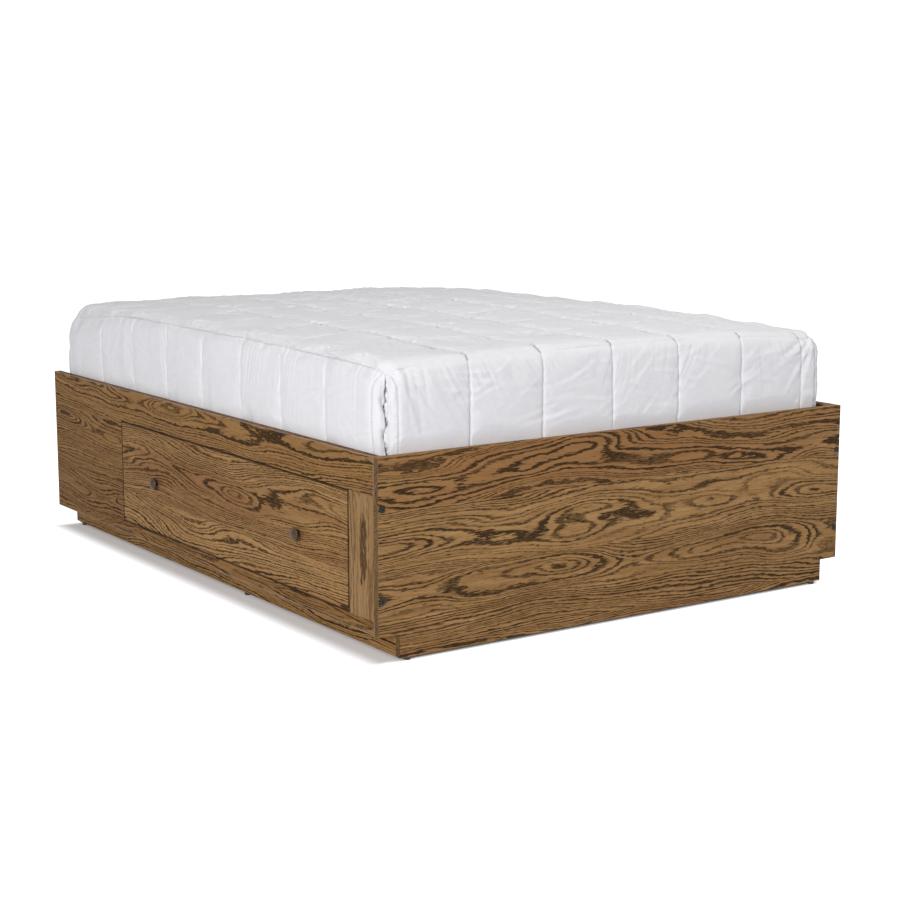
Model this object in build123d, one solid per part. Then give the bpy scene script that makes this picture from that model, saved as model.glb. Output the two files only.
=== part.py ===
from build123d import *
import os
from math import asin, cos, degrees, radians, sin, sqrt

# Platform bed for a queen mattress, with one wide drawer in each long side.
# Millimetres. X runs across the bed, Y from the foot end to the head end, Z up from the floor.
# The origin is on the floor under the middle of the bed.

# Mattress
mattress_width = 1524.0
mattress_length = 2032.0
mattress_height = 254.0
mattress_corner = 70.0
mattress_edge = 40.0
mattress_padding = 25.0

# Room that the quilted comforter takes round the mattress
comforter_side_thickness = 17.0
comforter_end_thickness = 6.0
comforter_left_gap = 2.5
comforter_right_gap = 20.5
comforter_foot_gap = 3.5
comforter_head_gap = 8.5

# Outer frame
panel_height = 527.0
foot_thickness = 19.0
side_thickness = 22.0
toe_kick_height = 63.5
toe_kick_recess = 63.5
toe_kick_thickness = 19.0
glide_height = 9.0
glide_diameter = 19.0
glide_bevel = 2.0
glide_inset = 27.5
glide_pin_diameter = 3.0
glide_pin_length = 14.0

# Drawer opening in each side panel
stile_width = 123.5
opening_length = 1396.0
top_rail_height = 102.0
bottom_rail_height = 36.5
front_reveal = 2.5
rail_end_gap = 1.5

# Inner carcass
floor_thickness = 15.0
upright_thickness = 19.0
plinth_width = 45.0
head_rail_thickness = 19.0
block_width = 25.0
block_end_gap = 40.0

# Slatted deck
deck_drop = 51.0
slat_thickness = 19.0
slat_width = 89.0
slat_count = 13
slat_end_margin = 15.0
slat_end_gap = 1.0
cleat_width = 22.0
cleat_height = 30.0

# Headboard holes in the head rail
headboard_hole_diameter = 8.5
headboard_hole_inset = 90.5
headboard_hole_spacing = 100.0
headboard_hole_drop = 105.0

# Bolts that hold the foot panel
bolt_low_margin = 56.5
bolt_high_margin = 31.0
bolt_diameter = 6.3
bolt_length = 60.0
bolt_head_diameter = 17.5
bolt_head_height = 2.4
bolt_socket_width = 4.0
bolt_socket_depth = 4.5
nut_diameter = 10.0
nut_length = 14.0
nut_setback = 35.0
nut_slot_width = 1.6
nut_slot_depth = 1.5

# Drawer boxes
box_wall = 15.0
box_depth = 600.0
box_lift = 9.0
box_drop = 26.0
bottom_thickness = 9.0
bottom_lift = 12.0
groove_depth = 7.0
tail_count = 5
tail_root_width = 30.0
tail_slope = 1.0 / 7.0

# Telescopic slides
slide_width = 12.7
slide_height = 45.7
slide_setback = 3.0
slide_end_margin = 7.0
slide_wall = 1.5
slide_lift = 130.0
slide_running_gap = 0.3
middle_web_gap = 2.5
slide_screw_inset = 60.0
slide_screw_count = 3

# Knobs
knob_spacing = 880.0
knob_projection = 26.0
knob_head_diameter = 38.0
knob_base_diameter = 20.0
knob_neck_diameter = 17.0
knob_neck_at = 7.0
knob_rim_at = 16.0
knob_rim_radius = 3.5
knob_rim_turn = (150.0, 90.0, 45.0)
knob_bore_spare = 2.0

# Screws
screw_clearance = 0.1
wood_screw_diameter = 4.0
wood_screw_head = 8.0
wood_screw_head_height = 2.6
slat_screw_length = 40.0
cleat_screw_length = 36.0
front_screw_length = 30.0
front_screw_margin = 55.0
front_screw_inset = 85.0
front_screw_count = 4
knob_screw_thread = 12.0
slide_screw_diameter = 3.5
slide_screw_head = 7.0
slide_screw_head_height = 1.9
slide_screw_length = 13.0

# Form of the comforter
comforter_hem_lift = 12.0
comforter_corner_rise = 14.0
comforter_crown = 20.0
comforter_edge_radius = 40.0
comforter_corner_radius = 40.0
comforter_clearance = 0.3
quilt_pitch = 238.0
quilt_start_x = 267.0
quilt_start_y = 275.0
quilt_margin = 8.0
quilt_pinch = 8.0
quilt_bulge = 10.0
quilt_seam_bulge = 1.0
quilt_shoulder = 34.0
comforter_end_shares = (0.0, 0.12, 0.4, 1.0)
side_bulge = 7.0
side_pinch = 4.0
channel_width = 12.0
channel_depth = 2.5
slit_width = 9.0
slit_top_drop = 34.0
slit_reach = 70.0

# Overall size: the mattress in its comforter, with the frame round it
comforter_width = mattress_width + 2 * comforter_side_thickness
comforter_length = mattress_length + 2 * comforter_end_thickness
bed_width = comforter_width + comforter_left_gap + comforter_right_gap + 2 * side_thickness
bed_length = foot_thickness + comforter_foot_gap + comforter_length + comforter_head_gap

# Levels above the floor
panel_bottom = glide_height
side_bottom = panel_bottom + toe_kick_height
frame_top = panel_bottom + panel_height
opening_bottom = side_bottom + bottom_rail_height
opening_top = frame_top - top_rail_height
floor_top = side_bottom + floor_thickness
deck_top = frame_top - deck_drop
slat_bottom = deck_top - slat_thickness
cleat_bottom = slat_bottom - cleat_height
box_bottom = opening_bottom + box_lift
box_top = opening_top - box_drop
slide_level = box_bottom + slide_lift

# Places across the bed, on the right-hand side
side_outer = bed_width / 2
side_inner = side_outer - side_thickness
spine_face = upright_thickness / 2
toe_kick_outer = side_outer - toe_kick_recess
toe_kick_inner = toe_kick_outer - toe_kick_thickness
bolt_across = side_outer - side_thickness / 2
box_back_x = side_inner - box_depth
slide_outer_x = side_inner - slide_setback
slide_inner_x = box_back_x + slide_end_margin

# Places along the bed
foot_face = -bed_length / 2
foot_inner = foot_face + foot_thickness
head_face = bed_length / 2
head_inner = head_face - head_rail_thickness
opening_foot = foot_inner + stile_width
opening_head = opening_foot + opening_length
opening_middle = (opening_foot + opening_head) / 2
box_foot = opening_foot + slide_width
box_head = opening_head - slide_width

SIDES = ("left", "right")
ENDS = ("foot", "head")
ACROSS_MIDDLE = Plane(origin=(0, opening_middle, 0), z_dir=(0, 1, 0))


def board(x0, x1, y0, y1, z0, z1):
    """A square-edged block between two corners."""
    size = Box(x1 - x0, y1 - y0, z1 - z0)
    return Pos((x0 + x1) / 2, (y0 + y1) / 2, (z0 + z1) / 2) * size


def spread(first, last, count):
    """Evenly spaced places, the first and last ones included."""
    return [first + i * (last - first) / (count - 1) for i in range(count)]


def rod(start, direction, radius, length):
    """A round bar from a point along a direction."""
    plane = Plane(origin=start, z_dir=direction)
    return plane * Cylinder(radius, length, align=(Align.CENTER, Align.CENTER, Align.MIN))


def prism_across_y(points, y0, y1):
    """An outline of (x, z) points, carried from y0 to y1."""
    outline = make_face(Polyline(*points, close=True))
    return extrude(Plane.XZ.offset(-y1) * outline, amount=y1 - y0, dir=(0, -1, 0))


def on_side(shape, side):
    """The piece as built for the right-hand side, or its mirror image."""
    return shape if side == "right" else mirror(shape, about=Plane.YZ)


def on_end(shape, end):
    """The piece as built for the foot end of a drawer bay, or its mirror image."""
    return shape if end == "foot" else mirror(shape, about=ACROSS_MIDDLE)


def both_sides(shapes):
    return [on_side(shape, side) for side in SIDES for shape in shapes]


def save(shape, name):
    """Writes one node: a piece, or a list of like pieces that share the node."""
    if isinstance(shape, list):
        shape = Compound(children=[solid for item in shape for solid in item.solids()])
    export_step(shape, f"parts/{name}.step")


def pan_screw(seat, direction, diameter, length, head, head_height):
    """A screw whose head sits on the point seat and whose shank runs along direction."""
    back = [-v for v in direction]
    return rod(seat, direction, diameter / 2, length) + rod(seat, back, head / 2, head_height)


def screw_hole(seat, direction, diameter, length):
    return rod(seat, direction, diameter / 2 + screw_clearance, length + screw_clearance)


def flat_screw(seat, direction, length, spare):
    """A countersunk wood screw, level with the point seat, or its hole if it has spare room."""
    shank = wood_screw_diameter / 2 + spare
    head = wood_screw_head / 2 + spare
    cone = Cone(head, shank, head - shank, align=(Align.CENTER, Align.CENTER, Align.MIN))
    return Plane(origin=seat, z_dir=direction) * cone + rod(seat, direction, shank, length + spare)


def wood_screw(seat, direction, length):
    return pan_screw(
        seat, direction, wood_screw_diameter, length, wood_screw_head, wood_screw_head_height
    )


def wood_screw_hole(seat, direction, length):
    return screw_hole(seat, direction, wood_screw_diameter, length)


# Foot panel with its bolts and barrel nuts
def make_bolt(x, z):
    head_top = foot_face - bolt_head_height
    shank = rod((x, foot_face, z), (0, 1, 0), bolt_diameter / 2, bolt_length)
    head = rod((x, head_top, z), (0, 1, 0), bolt_head_diameter / 2, bolt_head_height)
    socket = RegularPolygon(bolt_socket_width / 2, 6, major_radius=False)
    recess = Plane(origin=(x, head_top, z), z_dir=(0, 1, 0)) * extrude(socket, amount=bolt_socket_depth)
    return shank + head - recess


def bolt_hole(x, z):
    return screw_hole((x, foot_face, z), (0, 1, 0), bolt_diameter, bolt_length)


def nut_place(x, z):
    """The inner end of a barrel nut that is centred on its bolt."""
    return (x - nut_length / 2, foot_inner + nut_setback, z)


def make_nut(x, z):
    start = nut_place(x, z)
    body = rod(start, (1, 0, 0), nut_diameter / 2, nut_length)
    slot = Pos(*start) * Box(2 * nut_slot_depth, nut_diameter, nut_slot_width)
    return body - bolt_hole(x, z) - slot


def nut_hole(x, z):
    start = (side_inner, foot_inner + nut_setback, z)
    depth = nut_place(x, z)[0] + nut_length - side_inner + screw_clearance
    return rod(start, (1, 0, 0), nut_diameter / 2 + screw_clearance, depth)


bolt_levels = [opening_bottom + bolt_low_margin, opening_top - bolt_high_margin]


def make_foot_panel():
    panel = board(-side_outer, side_outer, foot_face, foot_inner, panel_bottom, frame_top)
    notch = board(toe_kick_outer, side_outer, foot_face, foot_inner, panel_bottom, side_bottom)
    holes = [bolt_hole(bolt_across, level) for level in bolt_levels]
    return bore_glides(panel - both_sides([notch] + holes))


# Glides: a bevelled disc with a pin that is driven into the board above it
glide_places = [
    (toe_kick_outer - glide_inset, foot_face + foot_thickness / 2),
    (toe_kick_outer - toe_kick_thickness / 2, opening_middle),
    (toe_kick_outer - toe_kick_thickness / 2, head_inner - glide_inset),
]
middle_glide_places = [(0, opening_foot), (0, opening_middle), (0, opening_head)]


def make_glide(x, y):
    radius = glide_diameter / 2
    disc = rod((x, y, 0), (0, 0, 1), radius, glide_height)
    disc = chamfer(disc.edges().sort_by(Axis.Z)[0], glide_bevel)
    return disc + rod((x, y, glide_height), (0, 0, 1), glide_pin_diameter / 2, glide_pin_length)


def glide_hole(x, y):
    return screw_hole((x, y, glide_height), (0, 0, 1), glide_pin_diameter, glide_pin_length)


def make_glides():
    side_glides = both_sides([make_glide(x, y) for x, y in glide_places])
    return side_glides + [make_glide(x, y) for x, y in middle_glide_places]


def bore_glides(shape):
    """Takes the glide pins' holes out of a board that stands on glides."""
    side_holes = both_sides([glide_hole(x, y) for x, y in glide_places])
    return shape - side_holes - [glide_hole(x, y) for x, y in middle_glide_places]


# Plinth and floor
def make_toe_kick():
    kick = board(toe_kick_inner, toe_kick_outer, foot_inner, head_inner, panel_bottom, side_bottom)
    return bore_glides(kick)


def make_head_toe_kick():
    return board(-toe_kick_outer, toe_kick_outer, head_inner, head_face, panel_bottom, side_bottom)


def make_centre_plinth():
    half = plinth_width / 2
    return bore_glides(board(-half, half, foot_inner, head_inner, panel_bottom, side_bottom))


def make_floor():
    return board(spine_face, side_inner, foot_inner, head_inner, side_bottom, floor_top)


def make_spine():
    return board(-spine_face, spine_face, foot_inner, head_inner, side_bottom, slat_bottom)


def make_head_rail():
    rail = board(-side_inner, side_inner, head_inner, head_face, side_bottom, deck_top)
    across = side_inner - headboard_hole_inset
    upper = deck_top - headboard_hole_drop
    holes = [
        rod((across, head_inner, level), (0, 1, 0), headboard_hole_diameter / 2, head_rail_thickness)
        for level in (upper, upper - headboard_hole_spacing)
    ]
    return rail - both_sides(holes)


# Deck: cleats, slats and their screws
cleat_inner = side_inner - cleat_width
cleat_level = (cleat_bottom + slat_bottom) / 2
slat_reach = slat_end_margin + slat_width / 2
slat_places = spread(foot_inner + slat_reach, head_inner - slat_reach, slat_count)
slat_pitch = slat_places[1] - slat_places[0]
slat_screw_seats = [(side_inner - cleat_width / 2, y, deck_top) for y in slat_places]
cleat_screw_seats = [
    (cleat_inner, y + slat_pitch / 2, cleat_level) for y in slat_places[1::3] if y < slat_places[-1]
]


def slat_screw(seat, spare=0.0):
    return flat_screw(seat, (0, 0, -1), slat_screw_length, spare)


def cleat_screw(seat, spare=0.0):
    return flat_screw(seat, (1, 0, 0), cleat_screw_length, spare)


def make_cleat():
    cleat = board(cleat_inner, side_inner, foot_inner, head_inner, cleat_bottom, slat_bottom)
    slat_holes = [slat_screw(seat, screw_clearance) for seat in slat_screw_seats]
    return cleat - slat_holes - [cleat_screw(seat, screw_clearance) for seat in cleat_screw_seats]


def make_slats():
    reach = side_inner - slat_end_gap
    slats = []
    for y, seat in zip(slat_places, slat_screw_seats):
        slat = board(-reach, reach, y - slat_width / 2, y + slat_width / 2, slat_bottom, deck_top)
        slats.append(slat - both_sides([slat_screw(seat, screw_clearance)]))
    return slats


# Side panels and end stiles
def make_side_panel():
    panel = board(
        side_inner, side_outer, foot_inner + rail_end_gap, head_face, side_bottom, frame_top
    )
    panel -= board(side_inner, side_outer, foot_inner, opening_head, opening_bottom, opening_top)
    return panel - [cleat_screw(seat, screw_clearance) for seat in cleat_screw_seats]


def make_end_stile():
    stile = board(side_inner, side_outer, foot_inner, opening_foot, opening_bottom, opening_top)
    bolt_holes = [bolt_hole(bolt_across, level) for level in bolt_levels]
    return stile - bolt_holes - [nut_hole(bolt_across, level) for level in bolt_levels]


# Bulkheads and corner blocks
def slide_screw_xs():
    return spread(slide_outer_x - slide_screw_inset, slide_inner_x + slide_screw_inset, slide_screw_count)


def cabinet_screw(x):
    seat = (x, opening_foot + slide_wall, slide_level)
    return pan_screw(
        seat, (0, -1, 0), slide_screw_diameter, slide_screw_length,
        slide_screw_head, slide_screw_head_height,
    )


def cabinet_screw_hole(x):
    seat = (x, opening_foot + slide_wall, slide_level)
    return screw_hole(seat, (0, -1, 0), slide_screw_diameter, slide_screw_length)


def make_bulkhead():
    """The bulkhead at the foot end of the right-hand drawer bay."""
    bulkhead = board(
        spine_face, side_inner, opening_foot - upright_thickness, opening_foot, floor_top, slat_bottom
    )
    bulkhead -= board(
        cleat_inner, side_inner, opening_foot - upright_thickness, opening_foot, cleat_bottom, slat_bottom
    )
    return bulkhead - [cabinet_screw_hole(x) for x in slide_screw_xs()]


def make_corner_blocks():
    low = floor_top + block_end_gap
    high = cleat_bottom - block_end_gap
    back = opening_foot - upright_thickness
    by_bulkhead = board(side_inner - block_width, side_inner, back - block_width, back, low, high)
    by_head_rail = board(
        side_inner - block_width, side_inner, head_inner - block_width, head_inner, low, high
    )
    blocks = [on_end(by_bulkhead, end) for end in ENDS]
    return both_sides(blocks + [by_head_rail])


# Telescopic slides, each built at the foot end of the right-hand bay
middle_half_height = slide_height / 2 - slide_wall - slide_running_gap
drawer_half_height = middle_half_height - slide_wall - slide_running_gap
middle_web_y = opening_foot + slide_wall + middle_web_gap
drawer_lip_y = middle_web_y + slide_wall + slide_running_gap


def channel(web_y, lip_y, half_height):
    """A channel along X: its web stands at web_y and its lips reach to lip_y."""
    inward = slide_wall if lip_y > web_y else -slide_wall
    low, high = sorted((web_y, lip_y))
    hollow_low, hollow_high = sorted((web_y + inward, lip_y))
    inner_half = half_height - slide_wall
    solid = board(
        slide_inner_x, slide_outer_x, low, high, slide_level - half_height, slide_level + half_height
    )
    return solid - board(
        slide_inner_x, slide_outer_x, hollow_low, hollow_high,
        slide_level - inner_half, slide_level + inner_half,
    )


def make_cabinet_slide():
    slide = channel(opening_foot, box_foot - slide_wall, slide_height / 2)
    return slide - [cabinet_screw_hole(x) for x in slide_screw_xs()]


def make_middle_slide():
    return channel(middle_web_y, box_foot - slide_wall, middle_half_height)


def drawer_slide_screw(x):
    seat = (x, box_foot - slide_wall, slide_level)
    return pan_screw(
        seat, (0, 1, 0), slide_screw_diameter, slide_screw_length,
        slide_screw_head, slide_screw_head_height,
    )


def drawer_slide_screw_hole(x):
    seat = (x, box_foot - slide_wall, slide_level)
    return screw_hole(seat, (0, 1, 0), slide_screw_diameter, slide_screw_length)


def make_drawer_slide():
    slide = channel(box_foot, drawer_lip_y, drawer_half_height)
    return slide - [drawer_slide_screw_hole(x) for x in slide_screw_xs()]


# Drawer boxes, dovetailed at the corners, with the bottom let into grooves
def make_drawer_bottom():
    return board(
        box_back_x + box_wall - groove_depth, side_inner - box_wall + groove_depth,
        box_foot + box_wall - groove_depth, box_head - box_wall + groove_depth,
        box_bottom + bottom_lift, box_bottom + bottom_lift + bottom_thickness,
    )


def make_box_side_blank():
    """A drawer side at the foot end, with tails on both of its ends."""
    side = board(
        box_back_x + box_wall, side_inner - box_wall, box_foot, box_foot + box_wall, box_bottom, box_top
    )
    root = tail_root_width / 2
    tip = root + box_wall * tail_slope
    half_pitch = (box_top - box_bottom) / tail_count / 2
    tails = []
    for level in spread(box_bottom + half_pitch, box_top - half_pitch, tail_count):
        for end, inward in ((side_inner, -1), (box_back_x, 1)):
            shoulder = end + inward * box_wall
            lower = [(shoulder, level - root), (end, level - tip)]
            upper = [(end, level + tip), (shoulder, level + root)]
            tails.append(prism_across_y(lower + upper, box_foot, box_foot + box_wall))
    return side + tails


def make_box_side(blank, bottom):
    return blank - bottom - [drawer_slide_screw_hole(x) for x in slide_screw_xs()]


def make_box_end(x0, x1, blank, bottom):
    """The box's front or back board, with the sockets that the tails fit."""
    end = board(x0, x1, box_foot, box_head, box_bottom, box_top) - bottom
    return end - [on_end(blank, place) for place in ENDS]


# Drawer fronts and knobs
knob_level = (opening_bottom + opening_top) / 2
knob_places = [opening_middle - knob_spacing / 2, opening_middle + knob_spacing / 2]
box_front_inner = side_inner - box_wall
knob_screw_length = box_wall + side_thickness + knob_screw_thread
front_screw_seats = [
    (box_front_inner, y, level)
    for y in spread(box_foot + front_screw_inset, box_head - front_screw_inset, front_screw_count)
    for level in (box_bottom + front_screw_margin, box_top - front_screw_margin)
]
knob_screw_seats = [(box_front_inner, y, knob_level) for y in knob_places]


def bore_front(shape):
    """Takes the holes of the front's and the knobs' screws out of a piece."""
    front_holes = [wood_screw_hole(seat, (1, 0, 0), front_screw_length) for seat in front_screw_seats]
    return shape - front_holes - [
        wood_screw_hole(seat, (1, 0, 0), knob_screw_length) for seat in knob_screw_seats
    ]


def make_drawer_front():
    front = board(
        side_inner, side_outer, opening_foot + front_reveal, opening_head - front_reveal,
        opening_bottom + front_reveal, opening_top - front_reveal,
    )
    return bore_front(front)


def make_knob(y):
    """A turned knob: a hollow neck that swells to a rim, and a domed face."""
    rim_centre = knob_head_diameter / 2 - knob_rim_radius
    under, crest, over = [
        (knob_rim_at + knob_rim_radius * cos(radians(a)), rim_centre + knob_rim_radius * sin(radians(a)))
        for a in knob_rim_turn
    ]
    rise = knob_projection - over[0]
    dome_radius = (over[1] ** 2 + rise**2) / (2 * rise)
    outline = [
        Line((0, 0), (0, knob_base_diameter / 2)),
        ThreePointArc((0, knob_base_diameter / 2), (knob_neck_at, knob_neck_diameter / 2), under),
        ThreePointArc(under, crest, over),
        CenterArc((knob_projection - dome_radius, 0), dome_radius, 0, degrees(asin(over[1] / dome_radius))),
        Line((knob_projection, 0), (0, 0)),
    ]
    knob = revolve(make_face(outline), axis=Axis.X)
    bore_depth = knob_screw_thread + knob_bore_spare
    knob -= rod((0, 0, 0), (1, 0, 0), wood_screw_diameter / 2 + screw_clearance, bore_depth)
    return Pos(side_outer, y, knob_level) * knob


# Mattress: a padded case round a hollow sprung core
mattress_x = -side_inner + comforter_left_gap + comforter_width / 2
mattress_y = foot_inner + comforter_foot_gap + comforter_length / 2
mattress_top = deck_top + mattress_height


def rounded_block(grow, z0, z1):
    """The mattress outline grown by a margin, between two levels, with its upright edges rounded."""
    outline = RectangleRounded(
        mattress_width + 2 * grow, mattress_length + 2 * grow, mattress_corner + grow
    )
    return Pos(mattress_x, mattress_y, z0) * extrude(outline, amount=z1 - z0)


def make_mattress():
    case = rounded_block(0, deck_top, mattress_top)
    levels = case.faces().sort_by(Axis.Z)
    case = fillet(levels[0].edges() + levels[-1].edges(), mattress_edge)
    core = rounded_block(-mattress_padding, deck_top + mattress_padding, mattress_top - mattress_padding)
    levels = core.faces().sort_by(Axis.Z)
    return case - fillet(levels[0].edges() + levels[-1].edges(), mattress_edge - mattress_padding)


# Comforter: quilted in squares on top, with upright channels down its sides
comforter_left = mattress_x - comforter_width / 2
comforter_right = mattress_x + comforter_width / 2
comforter_foot = mattress_y - comforter_length / 2
comforter_head = mattress_y + comforter_length / 2
comforter_hem = deck_top + comforter_hem_lift
comforter_corner_top = mattress_top + comforter_corner_rise


def quilt_lines(start, end):
    """The sewn lines from a first one towards the far edge, one pitch apart."""
    room = end - start - comforter_edge_radius - comforter_corner_radius - side_bulge - quilt_margin
    return [start + i * quilt_pitch for i in range(int(room // quilt_pitch) + 1)]


quilt_xs = quilt_lines(comforter_left + quilt_start_x, comforter_right)
quilt_ys = quilt_lines(comforter_foot + quilt_start_y, comforter_head)


def crown_level(x, y):
    """The comforter's top before it is sewn down, highest in the middle of the bed."""
    across = (x - mattress_x) / (comforter_width / 2)
    along = (y - mattress_y) / (comforter_length / 2)
    return comforter_corner_top + comforter_crown * (2 - across * across - along * along)


def rounding(distance, radius):
    """How far a rounded edge falls back at a distance from the face that it starts at."""
    inward = max(0.0, radius - distance)
    return radius - sqrt(radius * radius - inward * inward)


def comforter_section(y):
    """The comforter's outline across the bed at one place along it."""
    from_end = min(y - comforter_foot, comforter_head - y)
    fullness = min(1.0, min(abs(y - line) for line in quilt_ys) / quilt_shoulder)
    fall = rounding(from_end, comforter_edge_radius) + quilt_pinch
    inset = rounding(from_end, comforter_corner_radius)
    draw = side_pinch * (1 - fullness)
    bulge = quilt_seam_bulge + (quilt_bulge - quilt_seam_bulge) * fullness
    left = comforter_left + inset + side_bulge
    right = comforter_right - inset - side_bulge
    stops = [left + comforter_edge_radius] + quilt_xs + [right - comforter_edge_radius]
    tops = [crown_level(x, y) - fall for x in stops]
    level = tops[0] - comforter_edge_radius
    level_right = tops[-1] - comforter_edge_radius
    middle = (comforter_hem + level) / 2
    bend = comforter_edge_radius * (1 - sqrt(0.5))
    runs = [
        [(left, comforter_hem), (left - side_bulge + draw, middle), (left, level)],
        [(left, level), (left + bend, tops[0] - bend), (stops[0], tops[0])],
    ]
    for x0, z0, x1, z1 in zip(stops, tops, stops[1:], tops[1:]):
        rise = bulge * (x1 - x0) / quilt_pitch
        runs.append([(x0, z0), ((x0 + x1) / 2, (z0 + z1) / 2 + rise), (x1, z1)])
    runs += [
        [(stops[-1], tops[-1]), (right - bend, tops[-1] - bend), (right, level_right)],
        [(right, level_right), (right + side_bulge - draw, middle), (right, comforter_hem)],
    ]
    arcs = [ThreePointArc(*[(x, y, z) for x, z in run]) for run in runs]
    hem = Line((right, y, comforter_hem), (left, y, comforter_hem))
    return make_face(arcs + [hem])


def comforter_stations():
    """Where the sections stand: round both ends, on each sewn line and beside it."""
    from_ends = [share * comforter_corner_radius for share in comforter_end_shares]
    stations = [comforter_foot + d for d in from_ends] + [comforter_head - d for d in from_ends]
    for line in quilt_ys:
        stations += [line - quilt_shoulder, line, line + quilt_shoulder]
    return sorted(stations)


def end_channel(x, face, inward):
    """The upright valley of a seam in the comforter's foot or head face."""
    half = channel_width / 2
    outline = [(x - half, face), (x + half, face), (x, face + inward * channel_depth)]
    return Pos(0, 0, comforter_hem) * extrude(
        make_face(Polyline(*outline, close=True)), amount=mattress_height, dir=(0, 0, 1)
    )


def corner_slit(corner, outward):
    """The open slit down a foot corner, widest at the hem."""
    height = comforter_corner_top - slit_top_drop - comforter_hem
    outline = Polyline((-slit_width / 2, 0), (slit_width / 2, 0), (0, height), close=True)
    plane = Plane(
        origin=(corner, comforter_foot, comforter_hem), x_dir=(-1, -outward, 0), z_dir=(-outward, 1, 0)
    )
    return extrude(plane * make_face(outline), amount=slit_reach, dir=(-outward, 1, 0))


def make_comforter():
    body = loft([comforter_section(y) for y in comforter_stations()], ruled=True)
    body -= [end_channel(x, comforter_foot, 1) for x in quilt_xs]
    body -= [end_channel(x, comforter_head, -1) for x in quilt_xs]
    body -= [corner_slit(comforter_left, -1), corner_slit(comforter_right, 1)]
    hollow = rounded_block(comforter_clearance, deck_top, mattress_top + comforter_clearance)
    rim = hollow.faces().sort_by(Axis.Z)[-1].edges()
    return body - fillet(rim, mattress_edge)


def save_frame():
    bolt_places = [(bolt_across, level) for level in bolt_levels]
    save(make_foot_panel(), "foot_panel")
    save(both_sides([make_bolt(x, z) for x, z in bolt_places]), "foot_panel_bolts")
    save(both_sides([make_nut(x, z) for x, z in bolt_places]), "barrel_nuts")
    save(make_glides(), "glides")
    save(make_head_toe_kick(), "head_toe_kick")
    save(make_centre_plinth(), "centre_plinth")
    save(make_spine(), "centre_spine")
    save(make_head_rail(), "head_rail")
    save(make_corner_blocks(), "corner_blocks")
    save(make_slats(), "slats")
    save(both_sides([slat_screw(seat) for seat in slat_screw_seats]), "slat_screws")
    save(both_sides([cleat_screw(seat) for seat in cleat_screw_seats]), "cleat_screws")
    for side in SIDES:
        save(on_side(make_side_panel(), side), f"{side}_side_panel")
        save(on_side(make_end_stile(), side), f"{side}_end_stile")
        save(on_side(make_toe_kick(), side), f"{side}_toe_kick")
        save(on_side(make_floor(), side), f"{side}_floor")
        save(on_side(make_cleat(), side), f"{side}_cleat")
        for end in ENDS:
            save(on_side(on_end(make_bulkhead(), end), side), f"{side}_{end}_bulkhead")
            save(on_side(on_end(make_cabinet_slide(), end), side), f"{side}_{end}_cabinet_slide")
    cabinet_screws = [on_end(cabinet_screw(x), end) for end in ENDS for x in slide_screw_xs()]
    save(both_sides(cabinet_screws), "cabinet_slide_screws")


def save_drawer(side):
    bottom = make_drawer_bottom()
    blank = make_box_side_blank()
    box_front = bore_front(make_box_end(box_front_inner, side_inner, blank, bottom))
    box_back = make_box_end(box_back_x, box_back_x + box_wall, blank, bottom)
    slide_screws = [on_end(drawer_slide_screw(x), end) for end in ENDS for x in slide_screw_xs()]
    middle_slides = [on_end(make_middle_slide(), end) for end in ENDS]
    knobs = [make_knob(y) for y in knob_places]
    knob_screws = [wood_screw(seat, (1, 0, 0), knob_screw_length) for seat in knob_screw_seats]
    front_screws = [wood_screw(seat, (1, 0, 0), front_screw_length) for seat in front_screw_seats]
    save(on_side(make_drawer_front(), side), f"{side}_drawer_front")
    save(on_side(box_front, side), f"{side}_box_front")
    save(on_side(box_back, side), f"{side}_box_back")
    save(on_side(bottom, side), f"{side}_drawer_bottom")
    for end in ENDS:
        save(on_side(on_end(make_box_side(blank, bottom), end), side), f"{side}_box_{end}_side")
        save(on_side(on_end(make_drawer_slide(), end), side), f"{side}_{end}_drawer_slide")
    save([on_side(knob, side) for knob in knobs], f"{side}_knobs")
    save([on_side(screw, side) for screw in knob_screws], f"{side}_knob_screws")
    save([on_side(screw, side) for screw in front_screws], f"{side}_front_screws")
    save([on_side(screw, side) for screw in slide_screws], f"{side}_drawer_slide_screws")
    save([on_side(slide, side) for slide in middle_slides], f"{side}_middle_slides")


os.makedirs("parts", exist_ok=True)
save_frame()
for drawer_side in SIDES:
    save_drawer(drawer_side)
save(make_mattress(), "mattress")
save(make_comforter(), "comforter")
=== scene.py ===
# %% [markdown]
# A platform bed with drawers
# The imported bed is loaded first. Its boards, drawers and slides are already in their places,
# in metres, so this lesson only dresses them: stained oak, pale drawer boxes, steel slides,
# a mattress and a white quilted comforter.

# %% Load the bed
import math

import bmesh
import bpy
import numpy as np
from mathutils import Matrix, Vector


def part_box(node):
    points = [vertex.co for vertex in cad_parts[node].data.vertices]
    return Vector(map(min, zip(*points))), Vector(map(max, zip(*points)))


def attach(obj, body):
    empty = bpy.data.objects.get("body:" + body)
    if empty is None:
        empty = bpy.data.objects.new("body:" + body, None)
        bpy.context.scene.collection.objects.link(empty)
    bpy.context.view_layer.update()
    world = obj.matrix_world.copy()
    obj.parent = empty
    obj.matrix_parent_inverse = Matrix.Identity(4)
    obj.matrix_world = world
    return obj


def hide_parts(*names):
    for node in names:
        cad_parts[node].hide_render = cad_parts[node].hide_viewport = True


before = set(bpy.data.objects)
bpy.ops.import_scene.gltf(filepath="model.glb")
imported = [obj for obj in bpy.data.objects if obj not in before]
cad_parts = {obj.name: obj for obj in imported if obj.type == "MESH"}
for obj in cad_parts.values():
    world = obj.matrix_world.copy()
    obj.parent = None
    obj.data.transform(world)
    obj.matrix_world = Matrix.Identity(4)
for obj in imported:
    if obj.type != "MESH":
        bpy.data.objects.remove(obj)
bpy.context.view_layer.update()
scene = bpy.context.scene

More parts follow.
